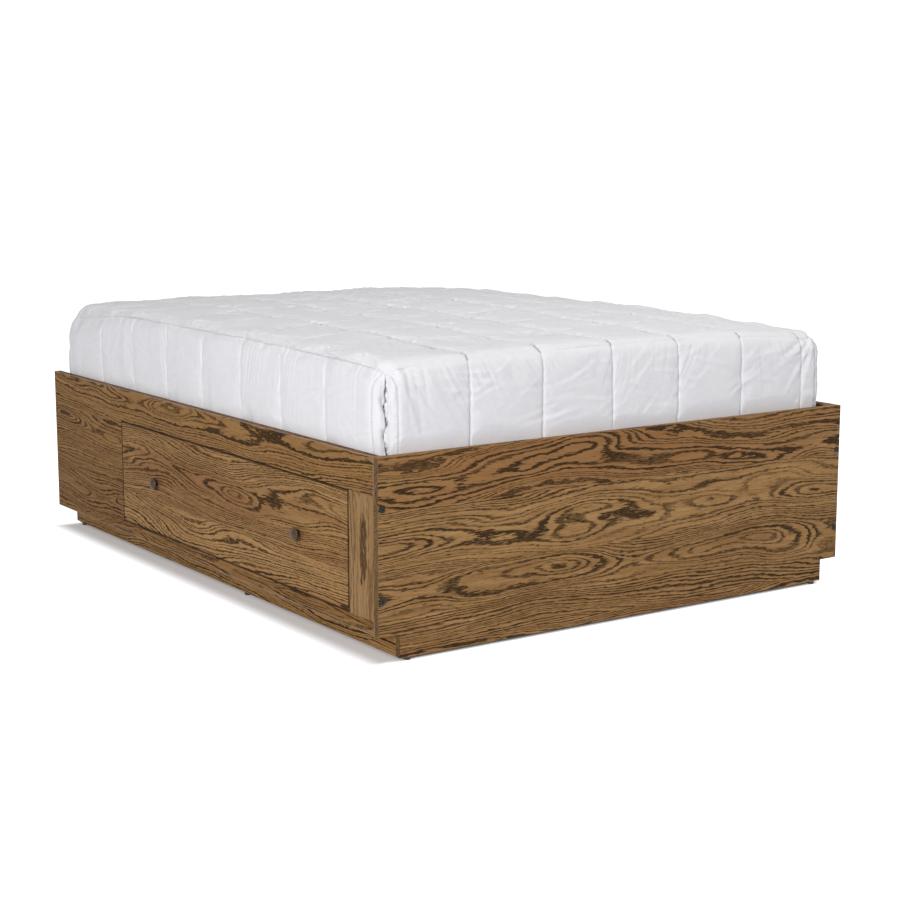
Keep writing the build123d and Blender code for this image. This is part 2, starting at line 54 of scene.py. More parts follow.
# %% [markdown]
# Camera
# The picture was taken with a longish lens from the foot end, left of the bed and above it.
# A camera could be aimed with a constraint, but plain numbers are easier to check:
# the place, the downward tilt and the turn were worked out from the bed's straight edges.

# %% Camera
SENSOR_WIDTH = 36.0
LENS = 73.92
CAMERA_PLACE = (-3.2125, -4.8885, 1.332)
CAMERA_TILT = math.radians(80.29)
CAMERA_TURN = math.radians(-34.21)


def set_all(thing, **settings):
    """Sets several properties of a node, lamp or modifier, and gives it back."""
    for name, value in settings.items():
        setattr(thing, name, value)
    return thing


def add_object(name, data):
    """A new object in the scene that shows a mesh, a lamp or a camera."""
    obj = bpy.data.objects.new(name, data)
    scene.collection.objects.link(obj)
    return obj


camera_data = set_all(bpy.data.cameras.new("photo_camera"), sensor_width=SENSOR_WIDTH, lens=LENS)
camera = add_object("photo_camera", camera_data)
camera.location = CAMERA_PLACE
camera.rotation_euler = (CAMERA_TILT, 0.0, CAMERA_TURN)
scene.camera = camera
scene.view_settings.view_transform = "Standard"
print("camera", CAMERA_PLACE, "lens", LENS)

# %% [markdown]
# Shader sums
# Every finish here is built from nodes in code. Made one by one, the nodes and links of a
# long sum fill a page, so a small class stands for the output of a node: plus, minus,
# times and divided by on such a wire each add one Math node.

# %% Shader sums
class Wire:
    """An output of a node, in its tree. Numbers from numpy leave their sums to this class."""

    __array_ufunc__ = None

    def __init__(self, tree, socket):
        self.tree = tree
        self.socket = socket

    def __add__(self, other):
        return calc("ADD", self, other)

    def __radd__(self, other):
        return calc("ADD", other, self)

    def __sub__(self, other):
        return calc("SUBTRACT", self, other)

    def __rsub__(self, other):
        return calc("SUBTRACT", other, self)

    def __mul__(self, other):
        return calc("MULTIPLY", self, other)

    def __truediv__(self, other):
        return calc("DIVIDE", self, other)

    def __rtruediv__(self, other):
        return calc("DIVIDE", other, self)

    def __abs__(self):
        return calc("ABSOLUTE", self)


def add_node(tree, kind, **settings):
    """A new node of that kind, with its settings."""
    return set_all(tree.nodes.new(kind), **settings)


def feed(socket, value):
    """Links a wire to a socket, or writes a plain value into it."""
    if isinstance(value, Wire):
        value.tree.links.new(value.socket, socket)
    else:
        socket.default_value = value


def tree_of(values):
    """The tree of the first wire among some values."""
    return next(value.tree for value in values if isinstance(value, Wire))


def pass_on(kind, values, **settings):
    """A new node whose inputs take the values in turn, and its first output."""
    tree = tree_of(values)
    node = add_node(tree, kind, **settings)
    for socket, value in zip(node.inputs, values):
        feed(socket, value)
    return Wire(tree, node.outputs[0])


def calc(operation, *values, clamp=False):
    """One step of arithmetic on numbers or wires."""
    return pass_on("ShaderNodeMath", values, operation=operation, use_clamp=clamp)


def larger(one, other):
    return calc("MAXIMUM", one, other)


def smaller(one, other):
    return calc("MINIMUM", one, other)


def calc_vector(operation, *values):
    """One step of arithmetic on whole vectors."""
    return pass_on("ShaderNodeVectorMath", values, operation=operation)


def smooth_step(value, low, high, to_low=0.0, to_high=1.0):
    """Eases from to_low to to_high while the value goes from low to high."""
    values = (value, low, high, to_low, to_high)
    return pass_on("ShaderNodeMapRange", values, interpolation_type="SMOOTHSTEP")


def combine(x, y, z):
    """A vector from three numbers or wires."""
    return pass_on("ShaderNodeCombineXYZ", (x, y, z))


def split(wire, kind="ShaderNodeSeparateXYZ"):
    """The three numbers of a vector, or with another kind of node those of a colour."""
    node = add_node(wire.tree, kind)
    feed(node.inputs[0], wire)
    return [Wire(wire.tree, socket) for socket in node.outputs]


print("shader sums ready")

# %% [markdown]
# Shader parts
# The other helpers add what isn't a sum: textures, blends of two colours, bumps, and the
# groups that several finishes share. A group puts out colours, masks and heights only, and
# each material keeps its own shader.

# %% Shader parts
def node_outputs(tree, kind, inputs=(), **settings):
    """A new node with some of its inputs fed by name; gives its outputs by name."""
    node = add_node(tree, kind, **settings)
    for name, value in dict(inputs).items():
        feed(node.inputs[name], value)
    return {socket.name: Wire(tree, socket) for socket in node.outputs}


def noise(point, scale, detail=2.0, roughness=0.5):
    """Soft noise about zero, mostly within half a unit either way."""
    inputs = {"Vector": point, "Scale": scale, "Detail": detail, "Roughness": roughness}
    return (node_outputs(point.tree, "ShaderNodeTexNoise", inputs)["Fac"] - 0.5) * 2.0


def blend_color(share, first, second):
    """The first colour going over to the second."""
    tree = tree_of((share, first, second))
    node = add_node(tree, "ShaderNodeMix", data_type="RGBA")
    colors = [socket for socket in node.inputs if socket.type == "RGBA"]
    for socket, value in zip([node.inputs[0], *colors], (share, first, second)):
        feed(socket, value)
    return Wire(tree, next(socket for socket in node.outputs if socket.type == "RGBA"))


def new_group(name, inputs, outputs):
    """A shader group with named sockets: its tree, what it is given and what it puts out."""
    tree = bpy.data.node_groups.new(name, "ShaderNodeTree")
    for way, sockets in (("INPUT", inputs), ("OUTPUT", outputs)):
        for label, kind in sockets.items():
            tree.interface.new_socket(label, in_out=way, socket_type="NodeSocket" + kind)
    return tree, node_outputs(tree, "NodeGroupInput"), add_node(tree, "NodeGroupOutput").inputs


def place_group(tree, group, **values):
    """The group as a node in a material, with its own values; underscores stand for spaces."""
    inputs = {name.replace("_", " "): value for name, value in values.items()}
    return node_outputs(tree, "ShaderNodeGroup", inputs, node_tree=group)


def new_material(name, roughness, **sockets):
    """A material with one Principled shader, and that shader's inputs."""
    material = bpy.data.materials.new(name)
    material.use_nodes = True
    tree = material.node_tree
    shader = tree.nodes["Principled BSDF"].inputs
    shader["Roughness"].default_value = roughness
    for label, value in sockets.items():
        shader[label.replace("_", " ")].default_value = value
    return material, tree, shader


def surface_point(tree):
    """Where a point of the surface is in the bed's own frame."""
    return node_outputs(tree, "ShaderNodeTexCoord")["Object"]


def add_bump(shader, height, distance, strength):
    """A height in the material's own units, turned into a tilt of the surface."""
    inputs = {"Strength": strength, "Distance": distance, "Height": height}
    feed(shader["Normal"], node_outputs(height.tree, "ShaderNodeBump", inputs)["Normal"])


def srgb(red, green, blue):
    """A colour as a picture holds it, 0 to 255, for a shader socket."""
    def to_linear(value):
        share = value / 255
        return share / 12.92 if share <= 0.04045 else ((share + 0.055) / 1.055) ** 2.4
    return (to_linear(red), to_linear(green), to_linear(blue), 1.0)


print("shader parts ready")

# %% [markdown]
# Studio
# The bed stands on a white sweep. A real sweep is lit so hard that it turns pure white,
# which would burn out the comforter, so the floor adds a little light of its own
# for the camera alone. It still receives the bed's shadow, and the glow is held back in a
# narrow band along the bed's left side, a painted shadow, and left out under the bed.

# %% Floor and world
FLOOR_SIZE = 60.0
FLOOR_ALBEDO = (0.855, 0.852, 0.885, 1.0)
FLOOR_LIFT = 0.185
SHADOW_REACH = (0.030, 0.125)
UNDER_BED = 0.03
SHADOW_END = (-0.03, 0.03)
WORLD_LIGHT = 0.24


def seen_directly(tree):
    """One for rays that show the studio itself: to the eye, or by way of metal or glass."""
    rays = node_outputs(tree, "ShaderNodeLightPath")
    either = rays["Is Camera Ray"] + rays["Is Glossy Ray"]
    return calc("ADD", either, rays["Is Transmission Ray"], clamp=True)


def floor_glow(tree):
    """How much light the floor adds: little in a band along the bed's left side, a painted shadow, and none
    under the bed.
    """
    x, y, _ = split(surface_point(tree))
    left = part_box("left_toe_kick")[0].x - x
    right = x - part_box("right_toe_kick")[1].x
    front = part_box("foot_panel")[0].y - y
    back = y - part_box("head_toe_kick")[1].y
    lit_sides = larger(right, larger(front, back))
    outside = smooth_step(larger(left, lit_sides), -UNDER_BED, 0.0)
    shadow_side = smooth_step(left, *SHADOW_REACH, FLOOR_LIFT, 1.0)
    return outside * larger(shadow_side, smooth_step(lit_sides, *SHADOW_END, FLOOR_LIFT, 1.0))


def make_floor():
    half = FLOOR_SIZE / 2
    mesh = bpy.data.meshes.new("studio_floor")
    corners = [(-half, -half, 0), (half, -half, 0), (half, half, 0), (-half, half, 0)]
    mesh.from_pydata(corners, [], [(0, 1, 2, 3)])
    material, tree, _ = new_material("studio_white", 0.9, Base_Color=FLOOR_ALBEDO, Specular_IOR_Level=0.0)
    glow = add_node(tree, "ShaderNodeEmission")
    feed(glow.inputs["Strength"], floor_glow(tree) * seen_directly(tree))
    total = add_node(tree, "ShaderNodeAddShader")
    for socket, node in zip(total.inputs, (tree.nodes["Principled BSDF"], glow)):
        tree.links.new(node.outputs[0], socket)
    tree.links.new(total.outputs[0], tree.nodes["Material Output"].inputs["Surface"])
    mesh.materials.append(material)
    add_object("studio_floor", mesh)


def make_world():
    world = bpy.data.worlds.new("studio")
    world.use_nodes = True
    background = world.node_tree.nodes["Background"].inputs
    background["Color"].default_value = (1.0, 1.0, 1.0, 1.0)
    feed(background["Strength"], seen_directly(world.node_tree) * (1.0 - WORLD_LIGHT) + WORLD_LIGHT)
    scene.world = world


make_floor()
make_world()
print("floor", FLOOR_SIZE, "m, world light", WORLD_LIGHT)

# %% [markdown]
# Lamps
# Two soft boxes do most of the work. The one high up at the right of the foot end lights the
# top and throws the short shadow to the left of the bed. The one at the left, low and far
# away, rakes evenly along the drawer side and the foot, so that every fold and pore shows.

# %% Lamps
AIM = Vector((0.0, 0.0, 0.45))


def add_soft_box(name, place, size, power, color=(1.0, 1.0, 1.0)):
    data = bpy.data.lights.new(name, "AREA")
    lamp = add_object(name, set_all(data, shape="SQUARE", size=size, energy=power, color=color))
    lamp.location = place
    lamp.rotation_euler = (AIM - Vector(place)).to_track_quat("-Z", "Y").to_euler()


add_soft_box("high_soft_box", place=(1.5, -2.2, 5.2), size=1.4, power=108.0, color=(1.0, 0.985, 0.97))
add_soft_box("left_soft_box", place=(-8.0, -5.6, 3.2), size=2.4, power=535.0)

# %% [markdown]
# Wood grain
# A flat-sawn board shows the growth rings of its log cut almost along their surface:
# straight lines near its edges, arches and islands down its middle. A stretched stripe
# texture can't do that, so the group below builds the log. Each glued board of a panel
# has its own log axis, rings are measured by distance from it, and slow noise makes the
# log wander. Fine streaks along the grain break the ring edges up into pores.

# %% Wood grain group
BOARD_SHIFT_ALONG, BOARD_SHIFT_ACROSS = 31.0, 17.0
BOARD_UNEVEN = 0.75
LOG_DRIFT, KNOT_SWELL, LOG_OFFSET = 0.09, 0.050, 0.07
PITH_DEPTH, PITH_SPREAD = 0.05, 0.06
YEARS_PER_M, YEAR_SWING, YEAR_SHIFT = 46.0, 2.4, 50.0
RING_WAVES, RING_STREAKS = 0.58, 0.30
EARLY_OPENS, EARLY_CLOSES = (0.0, 0.07), (0.30, 0.56)
EARLY_LEAST, EARLY_BY_YEAR, EARLY_BY_PLACE = 0.48, 0.60, 0.50
PORE_EDGE, PORES_IN_EARLY, PORE_BLUR = 0.34, 0.50, (-0.05, 0.16)
EARLY_DARK, PORE_DARK, END_DARK = 0.40, 0.46, 0.55
FIBRE_TONE, BAND_TONE, BOARD_TONE = 0.9, 0.75, 0.55
RUDDY_FROM, RUDDY_TO, MOST_RUDDY, RUDDY_PATCHES = 0.45, 1.0, 0.6, 0.8
PORE_SINK, EARLY_SINK = 0.7, 0.3


def make_grain_group():
    tree, given, out = new_group(
        "board_grain",
        {"Grain Point": "Vector", "End Grain": "Float", "Board Width": "Float", "Ring Spacing": "Float",
         "Seed": "Float", "Figure": "Float", "Boldness": "Float", "Pale": "Color", "Middle": "Color",
         "Dark": "Color", "Ruddy": "Color"},
        {"Color": "Color", "Pores": "Float", "Height": "Float"},
    )
    along, across, depth = split(given["Grain Point"])

    # Which glued board this point is on, and how far it is from that board's middle.
    row = across / given["Board Width"] + given["Seed"]
    boards = node_outputs(tree, "ShaderNodeTexVoronoi", {"W": row, "Scale": 1.0, "Randomness": BOARD_UNEVEN},
                          voronoi_dimensions="1D")
    local = (row - boards["W"]) * given["Board Width"]
    first, second, third = split(boards["Color"], "ShaderNodeSeparateColor")
    own_along = along + first * BOARD_SHIFT_ALONG
    own_across = across + second * BOARD_SHIFT_ACROSS

    def grain_noise(per_m_along, per_m_across, detail, shift):
        """Noise with so many bumps a metre along and across the grain; the shift makes it a new one."""
        point = combine(own_along * per_m_along, own_across * per_m_across, depth * per_m_across + shift)
        return noise(point, 1.0, detail)

    # The log wanders slowly, and its rings swell round knots and old branches.
    drift = grain_noise(0.9, 1.5, 1.0, 3.1) * (given["Figure"] * LOG_DRIFT)
    swell = grain_noise(1.9, 8.0, 1.5, 7.7) * (given["Figure"] * KNOT_SWELL)
    sideways = local + drift + (third - 0.5) * LOG_OFFSET
    bark_ward = depth + swell + (PITH_DEPTH + second * PITH_SPREAD)
    radius = calc("SQRT", sideways * sideways + bark_ward * bark_ward)

    # Good and bad years: rings are wide or narrow, and the same all along the log.
    past = radius * YEARS_PER_M + first * YEAR_SHIFT
    years = node_outputs(tree, "ShaderNodeTexNoise", {"W": past, "Scale": 1.0, "Detail": 1.0},
                         noise_dimensions="1D")
    growth = (years["Fac"] - 0.5) * YEAR_SWING

    # Small waves and pore streaks make the ring edges ragged.
    waves = grain_noise(9.0, 36.0, 2.0, 11.9) * RING_WAVES
    streaks = grain_noise(38.0, 520.0, 2.0, 5.3) * 0.6 + grain_noise(34.0, 230.0, 1.0, 8.1)
    ring = radius / given["Ring Spacing"] + growth + (waves + streaks * RING_STREAKS)
    share = calc("FRACT", ring)
    early = smooth_step(share, *EARLY_OPENS) * smooth_step(share, *EARLY_CLOSES, 1.0, 0.0)
    year = node_outputs(tree, "ShaderNodeTexWhiteNoise", {"W": calc("FLOOR", ring) + second * 90.0},
                        noise_dimensions="1D")
    by_place = grain_noise(3.0, 24.0, 1.0, 1.7) * EARLY_BY_PLACE
    weight = year["Value"] * EARLY_BY_YEAR + (EARLY_LEAST + by_place)
    early = calc("MULTIPLY", early, weight, clamp=True)

    # Open pores: short dark dashes, thick in the early wood and thin elsewhere.
    dashes = grain_noise(52.0, 760.0, 1.0, 9.2)
    pores = smooth_step(dashes - (PORE_EDGE - early * PORES_IN_EARLY), *PORE_BLUR)
    darkness = early * EARLY_DARK + pores * PORE_DARK
    darkness = calc("MULTIPLY", darkness, given["Boldness"], clamp=True)

    # The wood between: pale and darker fibres, some boards ruddier than others.
    fibres = grain_noise(22.0, 420.0, 2.0, 4.4) * FIBRE_TONE
    bands = grain_noise(4.0, 46.0, 2.0, 2.4) * BAND_TONE + (first - 0.5) * BOARD_TONE
    wood = blend_color(calc("ADD", 0.5 + fibres, bands, clamp=True), given["Pale"], given["Middle"])
    warm = third + grain_noise(1.2, 9.0, 1.0, 6.6) * RUDDY_PATCHES
    wood = blend_color(smooth_step(warm, RUDDY_FROM, RUDDY_TO, 0.0, MOST_RUDDY), wood, given["Ruddy"])
    wood = blend_color(darkness, wood, given["Dark"])
    wood = blend_color(given["End Grain"] * END_DARK, wood, given["Dark"])
    feed(out["Color"], wood)
    feed(out["Pores"], darkness)
    feed(out["Height"], 1.0 - (pores * PORE_SINK + early * EARLY_SINK))
    return tree


GRAIN = make_grain_group()
print("group", GRAIN.name, "with", len(GRAIN.nodes), "nodes")

# %% [markdown]
# Edges: wear and painted light
# Along its arrises a board blends in an edge colour. On most boards it is stain rubbed thin, where
# hands and vacuum cleaners touch it. On the foot and head boards it is partly a painted highlight,
# on the side panels a painted highlight, and on the drawer fronts painted shade from their gap;
# the stiles' edges are darker. A bevel shader could find those edges, but it is slow and noisy.
# A board is a box, so its edges lie where a point is close to two of the box's faces at once.

# %% Edge group: wear and painted light
EDGE_PATCHES_PER_M = 45.0
LEAST_EDGE_REACH = 0.0002


def make_edge_wear_and_painted_light_group():
    tree, given, out = new_group(
        "edge_wear_and_painted_light",
        {"Point": "Vector", "Centre": "Vector", "Half Size": "Vector", "Width": "Float", "Ragged": "Float"},
        {"Mask": "Float"},
    )
    outward = calc_vector("ABSOLUTE", calc_vector("SUBTRACT", given["Point"], given["Centre"]))
    x, y, z = split(calc_vector("SUBTRACT", given["Half Size"], outward))
    second_nearest = larger(smaller(x, y), smaller(larger(x, y), z))
    ragged = noise(given["Point"], EDGE_PATCHES_PER_M, 3.0) * given["Ragged"]
    reach = larger(given["Width"] * (0.8 + ragged), LEAST_EDGE_REACH)
    feed(out["Mask"], smooth_step(second_nearest, 0.0, reach, 1.0, 0.0))
    return tree


EDGE_WEAR_AND_PAINTED_LIGHT = make_edge_wear_and_painted_light_group()
print("group", EDGE_WEAR_AND_PAINTED_LIGHT.name, "with", len(EDGE_WEAR_AND_PAINTED_LIGHT.nodes), "nodes")

# %% [markdown]
# Boards
# Every board gets its own copy of the wood: which way its grain runs, which face is wide,
# and a shift so that no two boards show the same figure. The shader stays in the material,
# and only colours, masks and heights come from the groups.

# %% Board materials
GRAIN_VALUES = ("Board_Width", "Ring_Spacing", "Figure", "Boldness", "Pale", "Middle", "Dark", "Ruddy")
SHIFT_ACROSS, SEED_SHARE = 0.37, 0.61
END_FACING, EDGE_FACING = (0.6, 0.9), (0.5, 0.8)
LAYER_SHADE = 0.6
PORE_ROUGHNESS, PORE_BUMP = 0.16, 0.6


def board_material(name, node, along, across, shift, finish):
    """Wood for one CAD node, with grain along one axis and rings spread across another."""
    material, tree, shader = new_material(name, finish["roughness"], Specular_IOR_Level=finish["gloss"])
    place = node_outputs(tree, "ShaderNodeTexCoord")
    point = dict(zip("xyz", split(place["Object"])))
    facing = dict(zip("xyz", split(place["Normal"])))
    depth = ({"x", "y", "z"} - {along, across}).pop()
    low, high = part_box(node)
    centre = (low + high) / 2
    grain = combine(point[along], point[across], point[depth])
    grain = calc_vector("ADD", grain, (shift, SHIFT_ACROSS * shift, -getattr(centre, depth)))
    wood = place_group(
        tree, GRAIN, Grain_Point=grain, End_Grain=smooth_step(abs(facing[along]), *END_FACING),
        Seed=SEED_SHARE * shift, **{label: finish[label.lower()] for label in GRAIN_VALUES},
    )
    painted_light_and_wear = place_group(tree, EDGE_WEAR_AND_PAINTED_LIGHT, Point=place["Object"], Centre=centre, Half_Size=(high - low) / 2,
                       Width=finish["edge_width"], Ragged=finish["ragged"])
    color = wood["Color"]
    if "layer" in finish:
        on_edge = smooth_step(abs(facing[depth]), *EDGE_FACING, 1.0, 0.0)
        layers = place_group(tree, PLY, Depth=point[depth], Point=place["Object"], Layer=finish["layer"])
        color = blend_color(layers["Mask"] * (on_edge * LAYER_SHADE), color, finish["dark"])
    # The edge colour blended in here is rubbed stain on most boards, partly a painted highlight on the foot
    # and head boards, a painted highlight on the side panels, and painted shade on the drawer fronts.
    color = blend_color(painted_light_and_wear["Mask"] * finish["edge_share"], color, finish["edge"])
    feed(shader["Base Color"], color)
    feed(shader["Roughness"], finish["roughness"] + wood["Pores"] * PORE_ROUGHNESS)
    add_bump(shader, wood["Height"], finish["pore_depth"], PORE_BUMP)
    return material


def dress(node, material):
    """Puts one material on every face of a CAD node."""
    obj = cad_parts[node]
    if not obj.material_slots:
        obj.data.materials.append(material)
    for slot in obj.material_slots:
        slot.link = "OBJECT"
        slot.material = material


print("board materials take", len(GRAIN_VALUES), "grain values each")

# %% [markdown]
# The finishes are one stain on different boards. The foot panel is the boldest, and the edges of
# the foot and head boards are lighter, partly rubbed stain and partly a painted highlight. The side
# panels' pale grey edges are a painted highlight. The drawer fronts have near-black edges beside
# their gap, painted shade from that gap; the stiles are calmer, and the turned knobs are darker
# and glossier.

# %% Oak finishes
# Edge colour here: partly rubbed stain, partly a painted highlight along the arrises.
OAK = dict(
    board_width=0.19, ring_spacing=0.0064, figure=1.12, boldness=2.0, roughness=0.52, pore_depth=0.0006,
    pale=srgb(182, 143, 94), middle=srgb(143, 107, 65), dark=srgb(54, 38, 19), ruddy=srgb(148, 103, 63),
    gloss=0.10, edge=srgb(160, 134, 104), edge_width=0.0022, edge_share=0.35, ragged=0.9,
)
# The pale grey edge colour of the side panels is a painted highlight.
SIDE_OAK = dict(
    OAK, gloss=0.04, boldness=1.8, ring_spacing=0.0066, pale=srgb(157, 118, 72), middle=srgb(123, 89, 52),
    ruddy=srgb(132, 90, 54), edge=srgb(166, 150, 144), edge_width=0.0045, edge_share=0.7, ragged=0.4,
)
# The near-black edge colour of the drawer fronts is painted shade from the gap around them.
DRAWER_OAK = dict(
    SIDE_OAK, boldness=1.6, ring_spacing=0.0060, pale=srgb(177, 138, 90), middle=srgb(141, 105, 65),
    edge=srgb(26, 17, 9), edge_width=0.0085, edge_share=0.95, ragged=0.1,
)
TOE_OAK = dict(
    SIDE_OAK, pale=srgb(164, 126, 80), middle=srgb(132, 98, 58), edge=srgb(150, 124, 94), edge_share=0.3,
)
STILE_OAK = dict(
    SIDE_OAK, boldness=1.05, pale=srgb(166, 132, 92), middle=srgb(136, 103, 65), board_width=0.085,
    ring_spacing=0.0075, figure=0.8, edge=srgb(70, 50, 28), edge_width=0.002, edge_share=0.6,
)
KNOB_OAK = dict(
    SIDE_OAK, pale=srgb(92, 63, 38), middle=srgb(68, 46, 27), ring_spacing=0.004, board_width=0.05,
    boldness=0.9, roughness=0.24, gloss=0.30, edge_share=0.0,
)
SIDES = ("left_", "right_")

oak_boards = [("foot_panel", "x", "z", 2.3, OAK), ("head_rail", "x", "z", 5.1, OAK),
              ("head_toe_kick", "x", "z", 9.4, OAK)]
for number, side in enumerate(SIDES):
    oak_boards += [
        (side + "side_panel", "y", "z", 3.7 + 2.5 * number, SIDE_OAK),
        (side + "drawer_front", "y", "z", 1.4 + 7.4 * number, DRAWER_OAK),
        (side + "toe_kick", "y", "z", 4.6 + 2.7 * number, TOE_OAK),
        (side + "end_stile", "z", "y", 11.2 + 1.3 * number, STILE_OAK),
        (side + "knobs", "x", "y", 13.1 + 1.2 * number, KNOB_OAK),
    ]
for node, along, across, shift, finish in oak_boards:
    dress(node, board_material("oak_" + node, node, along, across, shift, finish))
print("oak boards", len(oak_boards))

# %% [markdown]
# Inner woods
# Inside the bed the wood is left pale: clear-lacquered maple for the drawer boxes, birch
# plywood for floors, bulkheads and drawer bottoms, and knotty pine for slats and cleats.
# They take the same grain group with gentler values. Plywood also shows its layers on
# every cut edge, which a second group draws from the depth into the board.

# %% Inner woods
LAYER_WAVES_PER_M, LAYER_WAVE = 60.0, 0.25
LAYER_BLUR = (-0.25, 0.25)


def make_ply_group():
    tree, given, out = new_group(
        "ply_layers", {"Depth": "Float", "Point": "Vector", "Layer": "Float"}, {"Mask": "Float"})
    wavy = noise(given["Point"], LAYER_WAVES_PER_M, 2.0) * LAYER_WAVE
    layer = given["Depth"] / given["Layer"] + wavy
    feed(out["Mask"], smooth_step(calc("SINE", layer * math.pi), *LAYER_BLUR))
    return tree


PLY = make_ply_group()
MAPLE = dict(
    board_width=0.13, ring_spacing=0.0045, figure=0.7, boldness=0.42, roughness=0.36, pore_depth=0.0002,
    pale=srgb(224, 200, 162), middle=srgb(208, 178, 134), dark=srgb(158, 120, 80), ruddy=srgb(214, 176, 134),
    gloss=0.40, edge=srgb(230, 210, 176), edge_width=0.0016, edge_share=0.30, ragged=0.9,
)
BIRCH_PLY = dict(
    board_width=0.42, ring_spacing=0.0075, figure=1.2, boldness=0.40, roughness=0.50, pore_depth=0.0002,
    pale=srgb(216, 190, 150), middle=srgb(200, 170, 126), dark=srgb(150, 112, 72), ruddy=srgb(206, 168, 126),
    gloss=0.25, edge=srgb(222, 198, 160), edge_width=0.0014, edge_share=0.25, ragged=0.9, layer=0.0016,
)
PINE = dict(
    board_width=0.11, ring_spacing=0.0075, figure=1.1, boldness=0.70, roughness=0.55, pore_depth=0.0003,
    pale=srgb(228, 200, 150), middle=srgb(216, 182, 126), dark=srgb(178, 124, 68), ruddy=srgb(214, 170, 116),
    gloss=0.25, edge=srgb(232, 208, 164), edge_width=0.0020, edge_share=0.30, ragged=0.9,
)
FIRST_INNER_SHIFT, INNER_SHIFT = 21.3, 1.7

inner_boards = [("centre_spine", "y", "z", BIRCH_PLY), ("centre_plinth", "y", "z", PINE),
                ("corner_blocks", "z", "x", PINE), ("slats", "x", "y", PINE)]
for side in SIDES:
    inner_boards += [
        (side + "floor", "y", "x", BIRCH_PLY), (side + "drawer_bottom", "y", "x", BIRCH_PLY),
        (side + "foot_bulkhead", "x", "z", BIRCH_PLY), (side + "head_bulkhead", "x", "z", BIRCH_PLY),
        (side + "cleat", "y", "z", PINE), (side + "box_front", "y", "z", MAPLE),
        (side + "box_back", "y", "z", MAPLE), (side + "box_foot_side", "x", "z", MAPLE),
        (side + "box_head_side", "x", "z", MAPLE),
    ]
for number, (node, along, across, finish) in enumerate(inner_boards):
    shift = FIRST_INNER_SHIFT + INNER_SHIFT * number
    dress(node, board_material("inner_" + node, node, along, across, shift, finish))
print("inner boards", len(inner_boards))

# %% [markdown]
# Metal and plastic
# Zinc-plated steel has a faint mottled spangle and fine scratches along the way it slides.
# The foot panel's bolts have a black oxide skin.
# Both take one group. The glides are moulded plastic with a fine spark-eroded grain.

# %% Metal group
MOTTLE_PER_M = 90.0
SCRATCHES_PER_M = (60.0, 1400.0, 1400.0)


def make_metal_group():
    tree, given, out = new_group(
        "metal_skin",
        {"Point": "Vector", "Spangle Size": "Float", "Scratch": "Float"},
        {"Spangle": "Float", "Rough": "Float", "Height": "Float"},
    )
    point = given["Point"]
    inputs = {"Vector": point, "Scale": 1.0 / given["Spangle Size"]}
    cells = node_outputs(tree, "ShaderNodeTexVoronoi", inputs)
    chance = split(cells["Color"], "ShaderNodeSeparateColor")[0]
    spangle = chance * 0.6 + (0.2 + noise(point, MOTTLE_PER_M, 3.0) * 0.4)
    scratch = noise(calc_vector("MULTIPLY", point, SCRATCHES_PER_M), 1.0, 2.0) * given["Scratch"]
    feed(out["Spangle"], spangle)
    feed(out["Rough"], spangle * 0.5 + scratch)
    feed(out["Height"], scratch)
    return tree


METAL = make_metal_group()
print("group", METAL.name, "with", len(METAL.nodes), "nodes")

# %% Metal and plastic finishes
SCRATCH_DEPTH, SCRATCH_BUMP = 0.00005, 0.4
PLASTIC_GRAIN_DEPTH, PLASTIC_BUMP = 0.0001, 0.5
PLASTIC_GRAIN_PER_M, SCUFFS_PER_M = 1500.0, 70.0
SCUFF_ROUGHNESS = 0.2


def metal_material(name, pale, deep, metallic, roughness, spread, spangle_size, scratch):
    """Plated steel; spread is how far its roughness varies, scratch how deep its lines are."""
    material, tree, shader = new_material(name, roughness, Metallic=metallic)
    skin = place_group(tree, METAL, Point=surface_point(tree), Spangle_Size=spangle_size, Scratch=scratch)
    feed(shader["Base Color"], blend_color(skin["Spangle"], deep, pale))
    feed(shader["Roughness"], roughness + skin["Rough"] * spread)
    add_bump(shader, skin["Height"], SCRATCH_DEPTH, SCRATCH_BUMP)
    return material


def plastic_material(name, pale, deep, roughness):
    """Moulded plastic, paler and duller where it is scuffed."""
    material, tree, shader = new_material(name, roughness)
    point = surface_point(tree)
    scuff = smooth_step(noise(point, SCUFFS_PER_M, 3.0), 0.0, 0.5)
    feed(shader["Base Color"], blend_color(scuff, deep, pale))
    feed(shader["Roughness"], roughness + scuff * SCUFF_ROUGHNESS)
    add_bump(shader, noise(point, PLASTIC_GRAIN_PER_M, 2.0), PLASTIC_GRAIN_DEPTH, PLASTIC_BUMP)
    return material


zinc = metal_material("zinc_plate", srgb(214, 216, 219), srgb(178, 181, 186), metallic=1.0,
                      roughness=0.26, spread=0.22, spangle_size=0.006, scratch=0.7)
black_oxide = metal_material("black_oxide", srgb(46, 45, 46), srgb(22, 22, 23), metallic=0.6,
                             roughness=0.36, spread=0.20, spangle_size=0.003, scratch=0.5)
glide_plastic = plastic_material("glide_plastic", srgb(52, 48, 46), srgb(30, 28, 27), 0.48)
zinc_nodes = ["barrel_nuts", "slat_screws", "cleat_screws", "cabinet_slide_screws"]
for side in SIDES:
    zinc_nodes += [side + name for name in (
        "foot_cabinet_slide", "head_cabinet_slide", "foot_drawer_slide", "head_drawer_slide", "middle_slides",
        "knob_screws", "front_screws", "drawer_slide_screws",
    )]
for node in zinc_nodes:
    dress(node, zinc)
dress("foot_panel_bolts", black_oxide)
dress("glides", glide_plastic)
print("zinc on", len(zinc_nodes), "nodes")

# %% [markdown]
# Eased edges
# A sharp edge on a real board is broken with sandpaper so that it doesn't splinter or cut.
# The solids have true corners, so a Weld and a small Bevel modifier do the sanding here
# and leave the solids' own points as they are.

# %% Eased edges
SANDED = 0.0011
BEVEL_ANGLE = math.radians(50)
WELD_REACH = 0.00002


